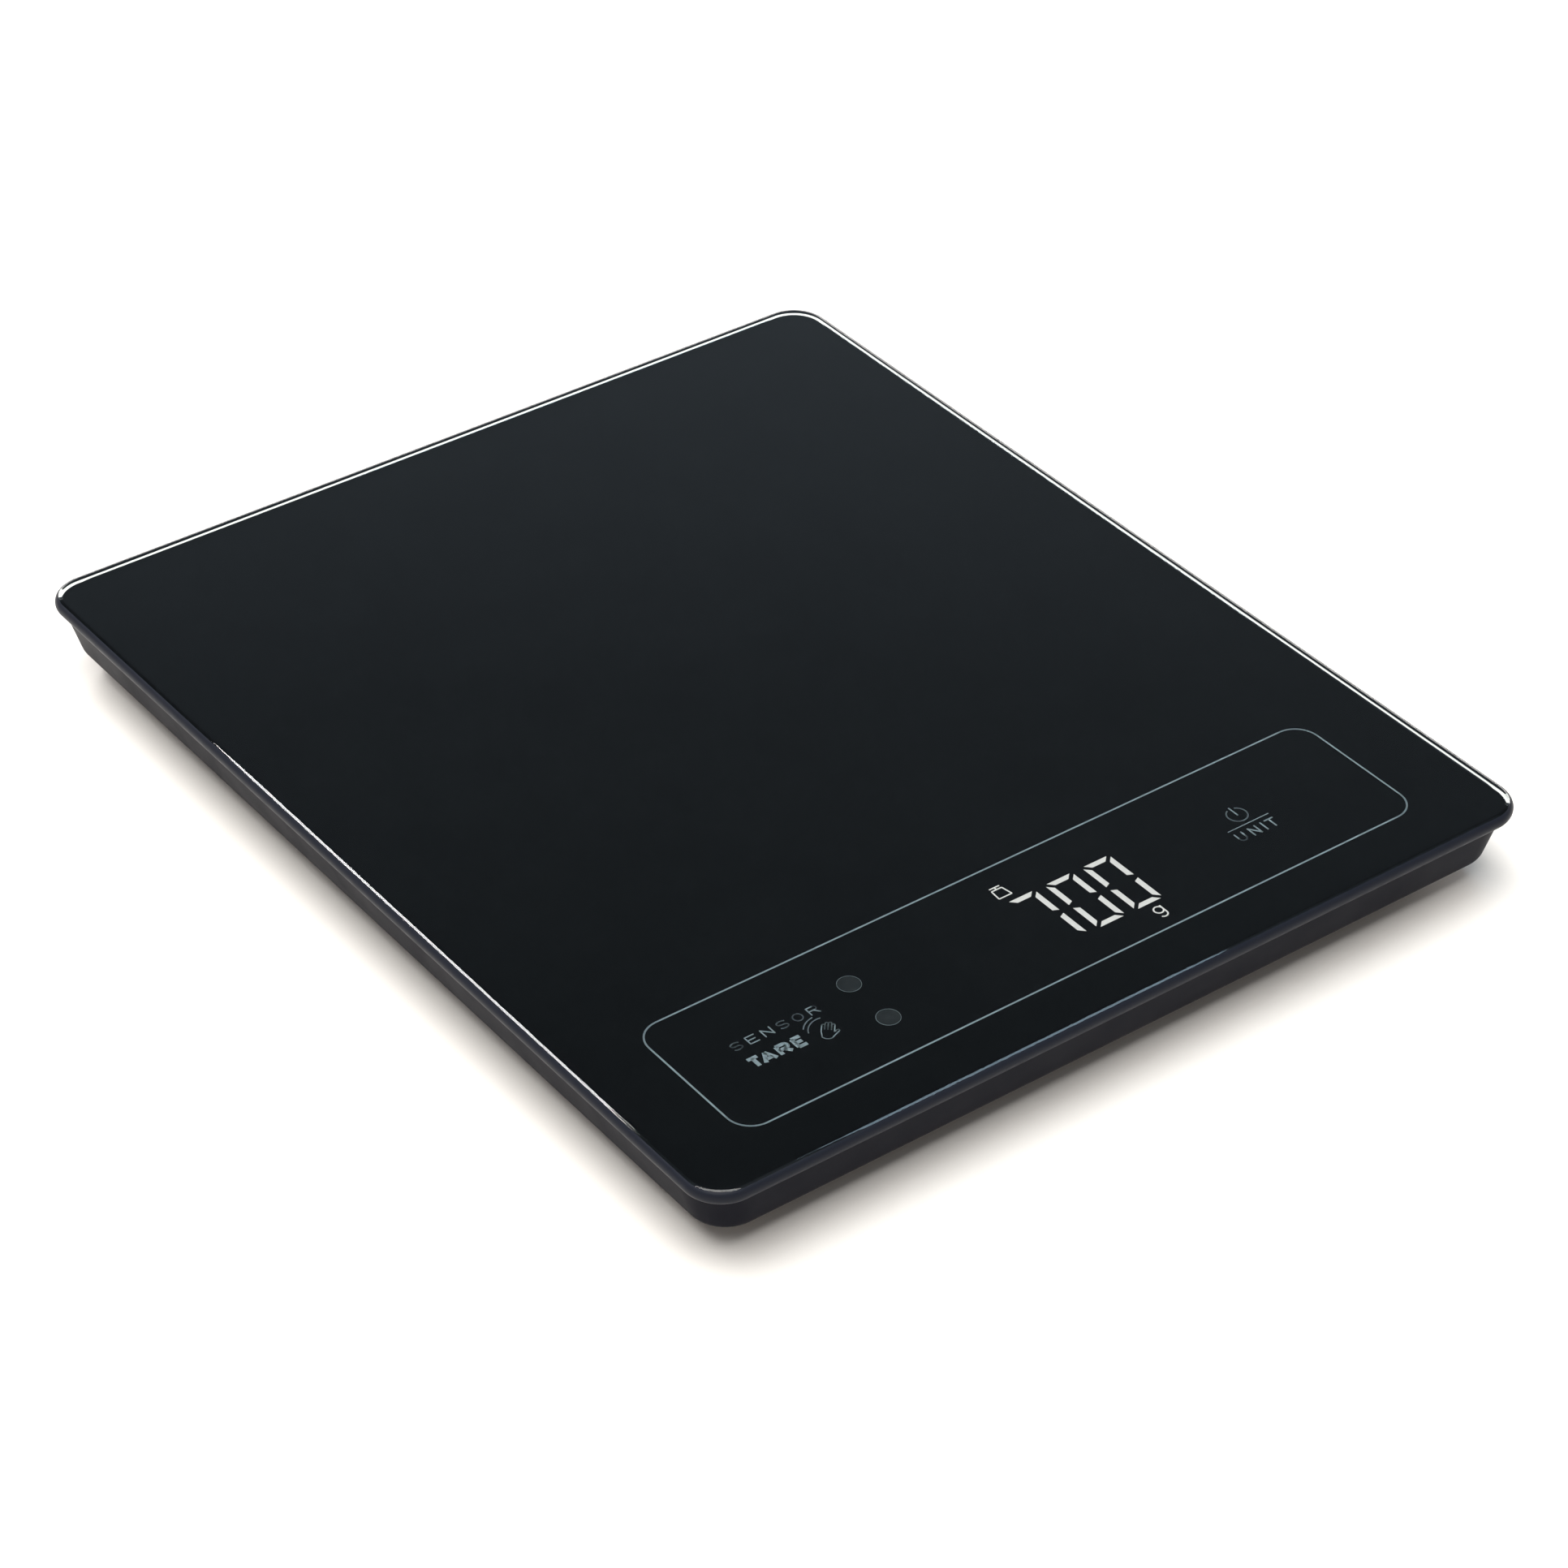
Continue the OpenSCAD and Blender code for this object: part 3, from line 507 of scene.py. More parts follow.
def copies(name, shape, places, material, slot, *nodes, body="scale_body"):
    """One piece with a copy of the shape at each (x, y, z, turn)."""
    seeds = points_mesh([place[:3] for place in places])
    turns = seeds.attributes.new("turn", "FLOAT", "POINT")
    turns.data.foreach_set("value", [place[3] for place in places])
    pattern = bpy.data.objects.new(name + "_shape", shaded_mesh(shape, name + "_shape"))
    mesh = grown_mesh(name, seeds, copies_tree, {"Shape": pattern}, material)
    bpy.data.objects.remove(pattern)
    return new_piece(name, mesh, material, body, slot, *nodes)


def join_rings(shape, low, high):
    """Faces between two rings of points that have the same number of points."""
    for k in range(len(low)):
        after = (k + 1) % len(low)
        shape.faces.new((low[k], low[after], high[after], high[k]))


def block(shape, low, high):
    """A box from its low corner to its high corner, in millimetres, added to the shape."""
    made = bmesh.ops.create_cube(shape, size=1)["verts"]
    for vert in made:
        vert.co = Vector((low[k] + (high[k] - low[k]) * (vert.co[k] + 0.5)) for k in range(3)) * mm
    return made


def ease_edges(shape, radius, segments=1, **profile):
    bmesh.ops.bevel(shape, geom=shape.edges, offset=radius * mm, segments=segments, affect="EDGES",
                    **profile)


board_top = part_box("control_board")[1].z
tinned = worn_material("tinned_copper", (0.62, 0.6, 0.55), 0.22, 0.4, 1200, metallic=1.0)
via = bmesh.new()
via_profile = [(0.2, 0.0), (0.42, 0.0), (0.42, 0.03), (0.38, 0.05), (0.24, 0.05), (0.2, 0.03)]
via_steps = 12
via_rings = [[via.verts.new((r * mm * math.cos(2 * math.pi * k / via_steps),
                             r * mm * math.sin(2 * math.pi * k / via_steps), z * mm))
              for k in range(via_steps)] for r, z in via_profile]
for low, high in zip(via_rings, via_rings[1:] + via_rings[:1]):
    join_rings(via, low, high)
via_rows = ((-14, -68.2, 12), (-14, -101.2, 16), (48, -72, 4))
via_pitch = 2.2
via_places = [((x + via_pitch * k) * mm, y * mm, board_top, 0) for x, y, n in via_rows for k in range(n)]
copies("board_vias", via, via_places, tinned, "circuit_board")

board_holes = [(x * mm, y * mm, board_top) for x in (-47, 57) for y in (-69.5, -99)]
screws("board_screws_steel", "board_screws", board_holes, "scale_body",
       2.2, 1.3, 0.99, 3.8)


# ---- Chips, resistors, plug headers and buzzer ----
# The parts soldered to the board: two moulded resin packages on gull-wing legs, twelve chip resistors
# with tinned ends, five cream nylon plug headers with their pins, and a round black buzzer.

resin, shader = new_material("chip_resin", (0.016, 0.016, 0.017), 0.5)
add_bump(resin, shader, add_noise(resin, 3000, 2.0), 0.00001, 0.4)
vary_roughness(resin, shader, add_noise(resin, 500), 0.42, 0.58)


def package(node, legs, four_sided):
    low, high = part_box(node)
    middle = (low + high) / 2
    leg_reach = 0.8
    wide = (high.x - low.x) / mm / 2 - leg_reach
    deep = (high.y - low.y) / mm / 2 - (leg_reach if four_sided else 0)
    top = (high.z - low.z) / mm
    body = bmesh.new()
    block(body, (-wide, -deep, 0.1), (wide, deep, top))
    ease_edges(body, 0.12, 2, profile=0.6)
    mark = bmesh.ops.create_cone(body, cap_ends=True, segments=20, radius1=0.35 * mm, radius2=0.35 * mm,
                                 depth=0.02 * mm)["verts"]
    bmesh.ops.translate(body, verts=mark, vec=Vector((0.9 - wide, deep - 0.9, top)) * mm)
    bmesh.ops.translate(body, verts=body.verts, vec=(middle.x, middle.y, low.z))
    new_piece(node + "_body", shaded_mesh(body, node + "_body"), resin, "scale_body", "chip_resin", node)
    leg = bmesh.new()
    bend = [(0, 0.55), (0.28, 0.55), (0.42, 0.12), (0.8, 0.12), (0.8, 0), (0.34, 0), (0.2, 0.42), (0, 0.42)]
    sides = [[leg.verts.new((x * mm, y * mm, z * mm)) for x, z in bend] for y in (-0.15, 0.15)]
    leg.faces.new(sides[0])
    leg.faces.new(sides[1][::-1])
    join_rings(leg, *sides)
    bmesh.ops.recalc_face_normals(leg, faces=leg.faces)
    places = []
    for turn in range(4 if four_sided else 2):
        angle = turn * (math.pi / 2 if four_sided else math.pi)
        reach, run = (wide, deep) if abs(math.cos(angle)) > 0.5 else (deep, wide)
        for k in range(legs):
            along = (k - (legs - 1) / 2) * 2 * run / (legs + 0.5)
            x = reach * math.cos(angle) - along * math.sin(angle)
            y = reach * math.sin(angle) + along * math.cos(angle)
            places.append((middle.x + x * mm, middle.y + y * mm, low.z, angle))
    copies(node + "_legs", leg, places, tinned, "chip_resin")


package("controller_chip", 8, True)
package("converter_chip", 8, False)

resistor_skin, shader = new_material("chip_resistor", (0.03, 0.03, 0.032), 0.35)
vary_colour(resistor_skin, shader, add_noise(resistor_skin, 900), (0.02, 0.02, 0.022), (0.05, 0.048, 0.045))
resistor_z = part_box("chip_resistors")[0].z
resistor_rows = ((42.5, -75), (29.5, -83.5))
resistor_pitch = 2.4
resistor_places = [((x + resistor_pitch * k) * mm, y * mm, resistor_z, 0)
                   for x, y in resistor_rows for k in range(6)]
resistor = bmesh.new()
block(resistor, (-0.46, -0.7, 0.03), (0.46, 0.7, 0.46))
ease_edges(resistor, 0.04)
copies("resistor_bodies", resistor, resistor_places, resistor_skin, "chip_resistor", "chip_resistors")
ends = bmesh.new()
for end in (-1, 1):
    low_y, high_y = sorted((end * 0.62, end * 1.0))
    block(ends, (-0.5, low_y, 0), (0.5, high_y, 0.5))
ease_edges(ends, 0.05)
copies("resistor_ends", ends, resistor_places, tinned, "chip_resistor")

nylon = worn_material("cream_nylon", (0.72, 0.69, 0.6), 0.38, 0.52, 400)
header_low, header_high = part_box("plug_headers")
header_deep, header_wide = 2.0, 3.0
header_top = (header_high.z - header_low.z) / mm
header_places = [(x * mm, (header_low.y + header_high.y) / 2, header_low.z, 0)
                 for x in (-40, -30, -20.5, 30, 40)]
shell = bmesh.new()
block(shell, (-header_wide, -header_deep, 0), (header_wide, header_deep, 0.8))
block(shell, (-header_wide, -header_deep, 0.8), (header_wide, 0.7 - header_deep, header_top))
for s in (-1, 1):
    low_x, high_x = sorted((s * (header_wide - 0.6), s * header_wide))
    block(shell, (low_x, 0.7 - header_deep, 0.8), (high_x, header_deep, header_top))
block(shell, (-header_wide + 0.6, 0.7 - header_deep, header_top - 0.6),
      (header_wide - 0.6, header_deep, header_top))
ease_edges(shell, 0.08, 2)
copies("header_shells", shell, header_places, nylon, "header_plastic", "plug_headers")
pins = bmesh.new()
for k in (-1, 0, 1):
    block(pins, (1.6 * k - 0.25, -1.2, 1.55), (1.6 * k + 0.25, 1.7, 2.05))
ease_edges(pins, 0.08)
copies("header_pins", pins, header_places, tinned, "header_plastic")

buzzer_low, buzzer_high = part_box("buzzer")
buzzer_z = buzzer_low.z / mm
buzzer_profile = [(0, 0), (4.4, 0), (4.5, 0.1), (4.5, 3.2), (4.42, 3.4), (4.2, 3.5), (1.1, 3.5), (1, 3.4),
                  (1, 3.0), (0, 3.0)]
new_piece("buzzer_case", turned_mesh("buzzer_case", [(r, z + buzzer_z) for r, z in buzzer_profile],
                                     (buzzer_low + buzzer_high) / 2, 48), resin, "scale_body", "chip_resin",
          "buzzer")


# ---- Display housing and light guides ----
# A black moulded block on the board holds one clear light guide for each stroke of the digits and for
# the two symbols. The guides end just under the dark filter.

display_plastic, shader = new_material("display_plastic", (0.01, 0.01, 0.011), 0.5)
add_bump(display_plastic, shader, add_noise(display_plastic, 2500, 2.0), 0.00001, 0.4)
vary_roughness(display_plastic, shader, add_noise(display_plastic, 300), 0.44, 0.58)
worked_piece("display_housing", "display_block", display_plastic, "scale_body", "display_plastic", 0)

light_guide, shader = new_material("milky_light_guide", (0.82, 0.8, 0.76), 0.35)
shader.inputs["Subsurface Weight"].default_value = 0.3
shader.inputs["Subsurface Radius"].default_value = (0.002, 0.002, 0.002)
vary_roughness(light_guide, shader, add_noise(light_guide, 600), 0.28, 0.4)
worked_piece("display_strokes", "light_guides", light_guide, "scale_body", "light_guide", 0)


# ---- Infrared lamps and their shroud ----
# Two 3 mm lamps with domed lenses stand in a black block that keeps them from seeing each other. One
# sends, in a faintly blue clear resin, and one receives, in a dark resin.

clear_resin, shader = new_material("clear_blue_resin", (0.62, 0.68, 0.8), 0.06)
shader.inputs["Transmission Weight"].default_value = 0.9
shader.inputs["IOR"].default_value = 1.5
vary_roughness(clear_resin, shader, add_noise(clear_resin, 700), 0.03, 0.1)
dark_resin = worn_material("dark_resin", (0.02, 0.02, 0.026), 0.05, 0.12, 700)
lamp_radius, flange_radius, flange_height = 1.5, 1.9, 0.8
for node, name, material, slot in (("infrared_emitter", "clear_lamp", clear_resin, "clear_resin"),
                                   ("infrared_receiver", "dark_lamp", dark_resin, "dark_resin")):
    low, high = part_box(node)
    foot, crown = low.z / mm, high.z / mm
    dome_steps = 10
    dome = [(lamp_radius * math.cos(math.pi / 2 * k / dome_steps),
             crown - lamp_radius + lamp_radius * math.sin(math.pi / 2 * k / dome_steps))
            for k in range(dome_steps)]
    profile = [(0, foot), (flange_radius - 0.08, foot), (flange_radius, foot + 0.08),
               (flange_radius, foot + flange_height - 0.08), (flange_radius - 0.08, foot + flange_height),
               (lamp_radius, foot + flange_height)] + dome + [(0, crown)]
    new_piece(name, turned_mesh(name, profile, (low + high) / 2, 40), material, "scale_body", slot, node)
worked_piece("sensor_shroud", "lamp_shroud", display_plastic, "scale_body", "display_plastic", 0.12 * mm)


# ---- Cables, leads and springs ----
# Each load cell sends its signal to a board header through a thin grey cable, and a red and a black
# lead bring the battery current. A sprung wire touches the print behind the unit key.

wire_tree, inputs, outputs = new_tree("round_wire", {"Wire radius": 0.0008, "Sides": 12, "Steps": 4})
wire_size = inputs.outputs
path = add_node(wire_tree, "GeometryNodeMeshToCurve", {"Mesh": wire_size["Geometry"]})
smooth = add_node(wire_tree, "GeometryNodeCurveSplineType", {"Curve": path.outputs["Curve"]},
                  spline_type="CATMULL_ROM")
fine = add_node(wire_tree, "GeometryNodeSetSplineResolution",
                {"Geometry": smooth.outputs["Curve"], "Resolution": wire_size["Steps"]})
wire_ring = add_node(wire_tree, "GeometryNodeCurvePrimitiveCircle",
                     {"Resolution": wire_size["Sides"], "Radius": wire_size["Wire radius"]})
swept = add_node(wire_tree, "GeometryNodeCurveToMesh",
                 {"Curve": fine.outputs["Geometry"], "Profile Curve": wire_ring.outputs["Curve"],
                  "Fill Caps": True})
close_tree(wire_tree, inputs, outputs, swept.outputs["Mesh"])


def wires(name, routes, radius, material, slot, node, sides=12, steps=4):
    """Round wires along routes of points in millimetres."""
    points, edges = [], []
    for route in routes:
        edges += [(len(points) + k, len(points) + k + 1) for k in range(len(route) - 1)]
        points += [Vector(p) * mm for p in route]
    mesh = grown_mesh(name, points_mesh(points, edges), wire_tree,
                      {"Wire radius": radius * mm, "Sides": sides, "Steps": steps}, material, 50)
    return new_piece(name, mesh, material, "scale_body", slot, node)


def wire_skin(name, colour, other):
    skin, shader = new_material(name, colour, 0.42)
    scuffs = add_noise(skin, 250, 4.0)
    vary_colour(skin, shader, scuffs, colour, other)
    vary_roughness(skin, shader, scuffs, 0.36, 0.5)
    return skin


def mirrored(route):
    return [(-x, y, z) for x, y, z in route]


grey_skin = wire_skin("grey_cable_skin", (0.5, 0.5, 0.48), (0.56, 0.56, 0.54))
red_skin = wire_skin("red_lead_skin", (0.36, 0.02, 0.015), (0.42, 0.03, 0.02))
black_skin = wire_skin("black_lead_skin", (0.012, 0.012, 0.013), (0.02, 0.02, 0.021))
cable_radius = 0.8
lead_radius = 0.6
front_route = [(68.5, -78, 11.9), (66.5, -78, 11.9), (64.5, -78, 11.9), (62.6, -75, 11.4), (62, -70, 10),
               (61.5, -64, 9), (57, -59.5, 8.9), (50, -57.5, 8.9), (44, -57.5, 9), (41, -58.5, 10.2),
               (40.1, -60.6, 11.6), (40, -62.5, 12), (40, -64.4, 12), (40, -66.3, 12)]
back_route = [(68.5, 78, 11.9), (66.5, 78, 11.9), (64.5, 78, 11.9), (60, 76, 10.8), (57.5, 71, 9.2),
              (57, 64, 8.9), (57, 40, 8.9), (57, 10, 8.9), (56, -20, 8.9), (52, -38, 8.9), (43, -50, 8.9),
              (34, -54.5, 8.9), (31, -57, 9.8), (30.1, -60.2, 11.5), (30, -62.4, 12), (30, -64.4, 12),
              (30, -66.3, 12)]
red_route = [(-28.4, 4, 10.2), (-29.4, 4, 10.2), (-30.4, 4, 10.2), (-32.4, 1, 9.6), (-32.6, -7, 8.9),
             (-31, -20, 8.8), (-27, -36, 8.8), (-21, -50, 8.8), (-19.3, -56, 9.4), (-19, -60, 11.4),
             (-19, -62.4, 12), (-19, -64.4, 12), (-19, -66.3, 12)]
black_route = [(-28.4, 26, 10.2), (-29.6, 26, 10.2), (-30.8, 26, 10.2), (-34.4, 23.6, 9.6), (-35.8, 17, 8.9),
               (-36, 0, 8.8), (-34, -20, 8.8), (-30, -37, 8.8), (-24, -50, 8.8), (-22.3, -56, 9.4),
               (-22, -60, 11.4), (-22, -62.4, 12), (-22, -64.4, 12), (-22, -66.3, 12)]
cable_routes = {"front_left": mirrored(front_route), "front_right": front_route,
                "back_left": mirrored(back_route), "back_right": back_route}
for corner, route in cable_routes.items():
    wires("grey_cable_" + corner, [route], cable_radius, grey_skin, "grey_wire", "cell_cable_" + corner)
wires("red_lead", [red_route], lead_radius, red_skin, "red_wire", "battery_lead_red")
wires("black_lead", [black_route], lead_radius, black_skin, "black_wire", "battery_lead_black")

spring_steel = worn_material("spring_steel", (0.6, 0.6, 0.6), 0.18, 0.34, 1500, metallic=1.0)
key_wire = 0.35
key_x, key_y = 49.4, -83
key_bottom = board_top / mm + key_wire
key_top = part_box("back_print")[0].z / mm - key_wire


def coil_steps(turns, steps=16):
    """How far along a coil each of its points is, from 0 to 1, and its angle."""
    count = round(turns * steps)
    return [(k / count, 2 * math.pi * turns * (k / count)) for k in range(count + 1)]


key_coil = [(key_x + (4 - 0.5 * share) * math.cos(angle), key_y + (4 - 0.5 * share) * math.sin(angle),
             key_bottom + (key_top - key_bottom) * share) for share, angle in coil_steps(4.5)]
wires("key_spring_wire", [key_coil], key_wire, spring_steel, "spring_steel", "unit_key_spring", 10, 2)


# ---- Batteries ----
# Three AAA cells lie side by side, their directions alternating. A steel can with rounded shoulders
# wears a printed plastic jacket, and the nub of the positive end stands out of an insulating ring.

jacket = worn_material("battery_jacket", (0.05, 0.07, 0.09), 0.22, 0.36, 200, 4.0)
band_place = jacket.node_tree.nodes.new("ShaderNodeTexCoord")
band_split = jacket.node_tree.nodes.new("ShaderNodeSeparateXYZ")
band_wave = jacket.node_tree.nodes.new("ShaderNodeMath")
band_wave.operation = "PINGPONG"
band_wave.inputs[1].default_value = 0.0125
band_ramp = jacket.node_tree.nodes.new("ShaderNodeValToRGB")
band_ramp.color_ramp.interpolation = "CONSTANT"
band_ramp.color_ramp.elements[0].color = (0.45, 0.47, 0.5, 1)
band_ramp.color_ramp.elements[1].color = (0.03, 0.045, 0.07, 1)
band_ramp.color_ramp.elements[1].position = 0.2
band_scale = jacket.node_tree.nodes.new("ShaderNodeMath")
band_scale.operation = "MULTIPLY"
band_scale.inputs[1].default_value = 80
band_links = jacket.node_tree.links
band_links.new(band_place.outputs["Object"], band_split.inputs["Vector"])
band_links.new(band_split.outputs["X"], band_wave.inputs[0])
band_links.new(band_wave.outputs[0], band_scale.inputs[0])
band_links.new(band_scale.outputs[0], band_ramp.inputs["Fac"])
band_links.new(band_ramp.outputs["Color"], shader.inputs["Base Color"])
contact_steel = worn_material("contact_steel", (0.66, 0.66, 0.65), 0.16, 0.34, 800, 4.0, metallic=1.0)
jacket_profile = [(4.45, 1.35), (4.45, 1.0), (4.85, 1.0), (5.1, 1.1), (5.25, 1.4), (5.25, 44.0),
                  (5.2, 44.25), (5.0, 44.38), (4.5, 44.38), (4.5, 44.1), (4.45, 44.1), (4.45, 1.35)]
can_profile = [(0, 0), (1.7, 0), (1.9, 0.2), (1.9, 0.95), (2.1, 1.15), (4.3, 1.2), (4.45, 1.4), (4.45, 44.1),
               (4.4, 44.3), (4.1, 44.45), (3.4, 44.5), (3.2, 44.35), (0, 44.35)]


def laid_along_x(mesh, start, towards_right):
    """Turns a mesh made about the Z axis to lie along X from the start point."""
    turn = Quaternion((0, 1, 0), math.pi / 2 if towards_right else -math.pi / 2)
    mesh.transform(turn.to_matrix().to_4x4())
    for vert in mesh.vertices:
        vert.co += start


for number in (1, 2, 3):
    node = f"battery_{number}"
    low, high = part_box(node)
    middle = (low + high) / 2
    nub_right = number % 2 == 1
    start = Vector((high.x if nub_right else low.x, middle.y, middle.z))
    jacket_mesh = turned_mesh(f"battery_jacket_{number}", jacket_profile, Vector((0, 0, 0)), 48)
    can_mesh = turned_mesh(f"battery_can_{number}", can_profile, Vector((0, 0, 0)), 48)
    for mesh in (jacket_mesh, can_mesh):
        laid_along_x(mesh, start, not nub_right)
    new_piece(f"battery_jacket_{number}", jacket_mesh, jacket, "scale_body", "battery_jacket", node)
    new_piece(f"battery_can_{number}", can_mesh, contact_steel, "scale_body", "battery_jacket")


# ---- Battery springs and contact plates ----
# Plated steel plates line both end walls of the battery box. A conical spring presses each cell's
# flat end, and two solder tails pass through the left wall to the leads.

spring_low, spring_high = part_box("battery_springs")
spring_wire = 0.3
spring_turns = 3.5
spring_routes = []
for number in (1, 2, 3):
    low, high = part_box(f"battery_{number}")
    middle = (low + high) / 2 / mm
    flat_left = number % 2 == 1
    wall_x = spring_low.x / mm if flat_left else spring_high.x / mm
    cell_x = low.x / mm if flat_left else high.x / mm
    inwards = 1 if flat_left else -1
    gap = abs(cell_x - wall_x) - 2 * spring_wire
    coil = []
    for share, angle in coil_steps(spring_turns):
        radius = 4.2 - 1.8 * share
        coil.append((wall_x + inwards * (spring_wire + gap * share), middle.y + radius * math.sin(angle),
                     middle.z + radius * math.cos(angle)))
    spring_routes.append(coil)
wires("contact_springs", spring_routes, spring_wire, spring_steel, "spring_steel", "battery_springs", 8, 2)
worked_piece("battery_contacts", "contact_plates", contact_steel, "scale_body", "contact_steel", 0.08 * mm)


# ---- Battery door ----
# The door is moulded in the tray's plastic. Two arms with round pivot pins hinge it at the back, and a
# tongue at the front snaps into the box. Fine grip ridges run across it beside the thumb dish.

worked_piece("battery_door", "door_moulding", tray_plastic, "door", "tray_plastic", 0.15 * mm)
door_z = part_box("battery_door")[0].z
ridge = bmesh.new()
ridge_half, ridge_steps = 8.0, 6
ridge_half_width, ridge_height, ridge_root = 0.35, 0.3, 0.2
ridge_ends = []
for x in (-ridge_half, ridge_half):
    crown = [ridge.verts.new((x * mm, -ridge_half_width * math.cos(math.pi * k / ridge_steps) * mm,
                              -ridge_height * math.sin(math.pi * k / ridge_steps) * mm))
             for k in range(ridge_steps + 1)]
    crown.append(ridge.verts.new((x * mm, ridge_half_width * mm, ridge_root * mm)))
    crown.append(ridge.verts.new((x * mm, -ridge_half_width * mm, ridge_root * mm)))
    ridge_ends.append(crown)
ridge.faces.new(ridge_ends[0])
ridge.faces.new(ridge_ends[1][::-1])
join_rings(ridge, *ridge_ends)
bmesh.ops.recalc_face_normals(ridge, faces=ridge.faces)
ridge_pitch, ridge_count = 1.6, 5
ridge_start = 9.5
ridge_places = [(0, (ridge_start + ridge_pitch * k) * mm, door_z, 0) for k in range(ridge_count)]
copies("door_grip_ridges", ridge, ridge_places, tray_plastic, "tray_plastic", body="door")


# ---- Foam tape ----
# A closed-cell foam frame, sticky on both faces, lies on the tray's inner ledge and holds the glass.

foam, shader = new_material("closed_cell_foam", (0.022, 0.023, 0.024), 0.9)
cells = foam.node_tree.nodes.new("ShaderNodeTexVoronoi")
cells.inputs["Scale"].default_value = 3500
cell_place = foam.node_tree.nodes.new("ShaderNodeTexCoord")
foam.node_tree.links.new(cell_place.outputs["Object"], cells.inputs["Vector"])
add_bump(foam, shader, cells.outputs["Distance"], 0.00005, 0.8)
worked_piece("foam_tape", "foam_frame", foam, "scale_body", "foam_tape", 0)


# ---- Print on the back of the glass ----
# Black ceramic ink covers the whole underside, fired into the glass, and stays open over the display
# and the two sensors. Black paint runs on round the rim, with a clear band left near its foot; this rim
# paint is partly painted reflection, standing in for the dark reflection along the glass edges. The pale
# function marks are printed first, so they show through from above.

ink, shader = new_material("black_ceramic_ink", (0.0035, 0.004, 0.0045), 0.6)
shader.inputs["Specular IOR Level"].default_value = 0
vary_colour(ink, shader, add_noise(ink, 60, 4.0), (0.003, 0.0035, 0.004), (0.004, 0.0046, 0.0052))
ink_sink = 0.04 * mm
ink_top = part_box("back_print")[1].z


def inked_copy(node, name, material, slot):
    """The node's mesh with its top face sunk a hair into the glass, so no air gap shows."""
    shape = merged_copy(node)
    for vert in shape.verts:
        if vert.co.z > ink_top - ink_sink:
            vert.co.z = ink_top + ink_sink
    return new_piece(name, shaded_mesh(shape, name), material, "scale_body", slot, node)


inked_copy("back_print", "black_ink", ink, "black_print")


def rounded_slab(width, depth, radius, section, closed=True):
    """A shape swept round a rectangle with round corners: section is a list of (inset, height) in metres,
    lowest first. A closed slab gets a bottom and a top; a loop joins its last point to its first."""
    corner_steps = 20
    shape = bmesh.new()
    rings = []
    for inset, height in section:
        ring = []
        for sx, sy, turn in ((1, 1, 0), (-1, 1, 90), (-1, -1, 180), (1, -1, 270)):
            for k in range(corner_steps + 1):
                a = math.radians(turn + 90 * k / corner_steps)
                ring.append(shape.verts.new((sx * (width / 2 - radius) + (radius - inset) * math.cos(a),
                                             sy * (depth / 2 - radius) + (radius - inset) * math.sin(a),
                                             height)))
        rings.append(ring)
    for low, high in zip(rings, rings[1:] if closed else rings[1:] + rings[:1]):
        join_rings(shape, low, high)
    if closed:
        shape.faces.new(rings[0][::-1])
        shape.faces.new(rings[-1])
    bmesh.ops.recalc_face_normals(shape, faces=shape.faces)
    return shape


glass_size = glass_high - glass_low
glass_radius = 8 * mm
half_thick = glass_size.z / 2


def rim_arc(low_angle, high_angle, steps, sink=0.0):
    """Points on the half-round rim of the glass, or a little inside it: -90 is below and 90 above."""
    turns = [math.radians(low_angle + (high_angle - low_angle) * k / steps) for k in range(steps + 1)]
    reach = half_thick - sink
    return [(half_thick - reach * math.cos(a), glass_low.z + half_thick + reach * math.sin(a))
            for a in turns]


# the black rim paint is partly painted reflection: its dark bands stand in for the dark reflection along the
# glass edges
edge_coat_and_painted_reflection, shader = new_material("black_edge_coat_and_painted_reflection", (0.012, 0.014, 0.021), 0.35)
shader.inputs["Specular IOR Level"].default_value = 0.1
vary_roughness(edge_coat_and_painted_reflection, shader, add_noise(edge_coat_and_painted_reflection, 400), 0.3, 0.42)
# the clear band between the two painted ones is where the floor glints through the back edges
low_paint_top, clear_top, paint_top = -82, -57, 64
low_steps, high_steps = 4, 12
paint_skin = 0.02 * mm
# the painted bands darken the rim where a dark reflection would fall, a painted reflection
dark_rim_bands = bmesh.new()
for low_angle, high_angle, steps in ((-90, low_paint_top, low_steps), (clear_top, paint_top, high_steps)):
    skirt = rim_arc(low_angle, high_angle, steps) + rim_arc(high_angle, low_angle, steps, paint_skin)
    band = shaded_mesh(rounded_slab(glass_size.x, glass_size.y, glass_radius, skirt, False), "paint_band")
    dark_rim_bands.from_mesh(band)
new_piece("painted_rim", shaded_mesh(dark_rim_bands, "painted_rim", 50), edge_coat_and_painted_reflection, "scale_body", "black_print")


filter_ink, shader = new_material("smoked_filter", (0.004, 0.0045, 0.005), 0.5)
shader.inputs["Specular IOR Level"].default_value = 0
vary_colour(filter_ink, shader, add_noise(filter_ink, 80), (0.0036, 0.0042, 0.0048), (0.0046, 0.005, 0.0056))
inked_copy("display_filter", "smoked_window", filter_ink, "display_filter")

window_ink, shader = new_material("infrared_window", (0.03, 0.034, 0.037), 0.4)
shader.inputs["Specular IOR Level"].default_value = 0
vary_colour(window_ink, shader, add_noise(window_ink, 500), (0.026, 0.03, 0.032), (0.035, 0.039, 0.042))
inked_copy("sensor_windows", "infrared_discs", window_ink, "sensor_window")

pale_ink, shader = new_material("pale_ceramic_ink", (0.33, 0.4, 0.44), 0.6)
shader.inputs["Specular IOR Level"].default_value = 0
vary_colour(pale_ink, shader, add_noise(pale_ink, 900, 4.0), (0.3, 0.365, 0.4), (0.36, 0.435, 0.48))

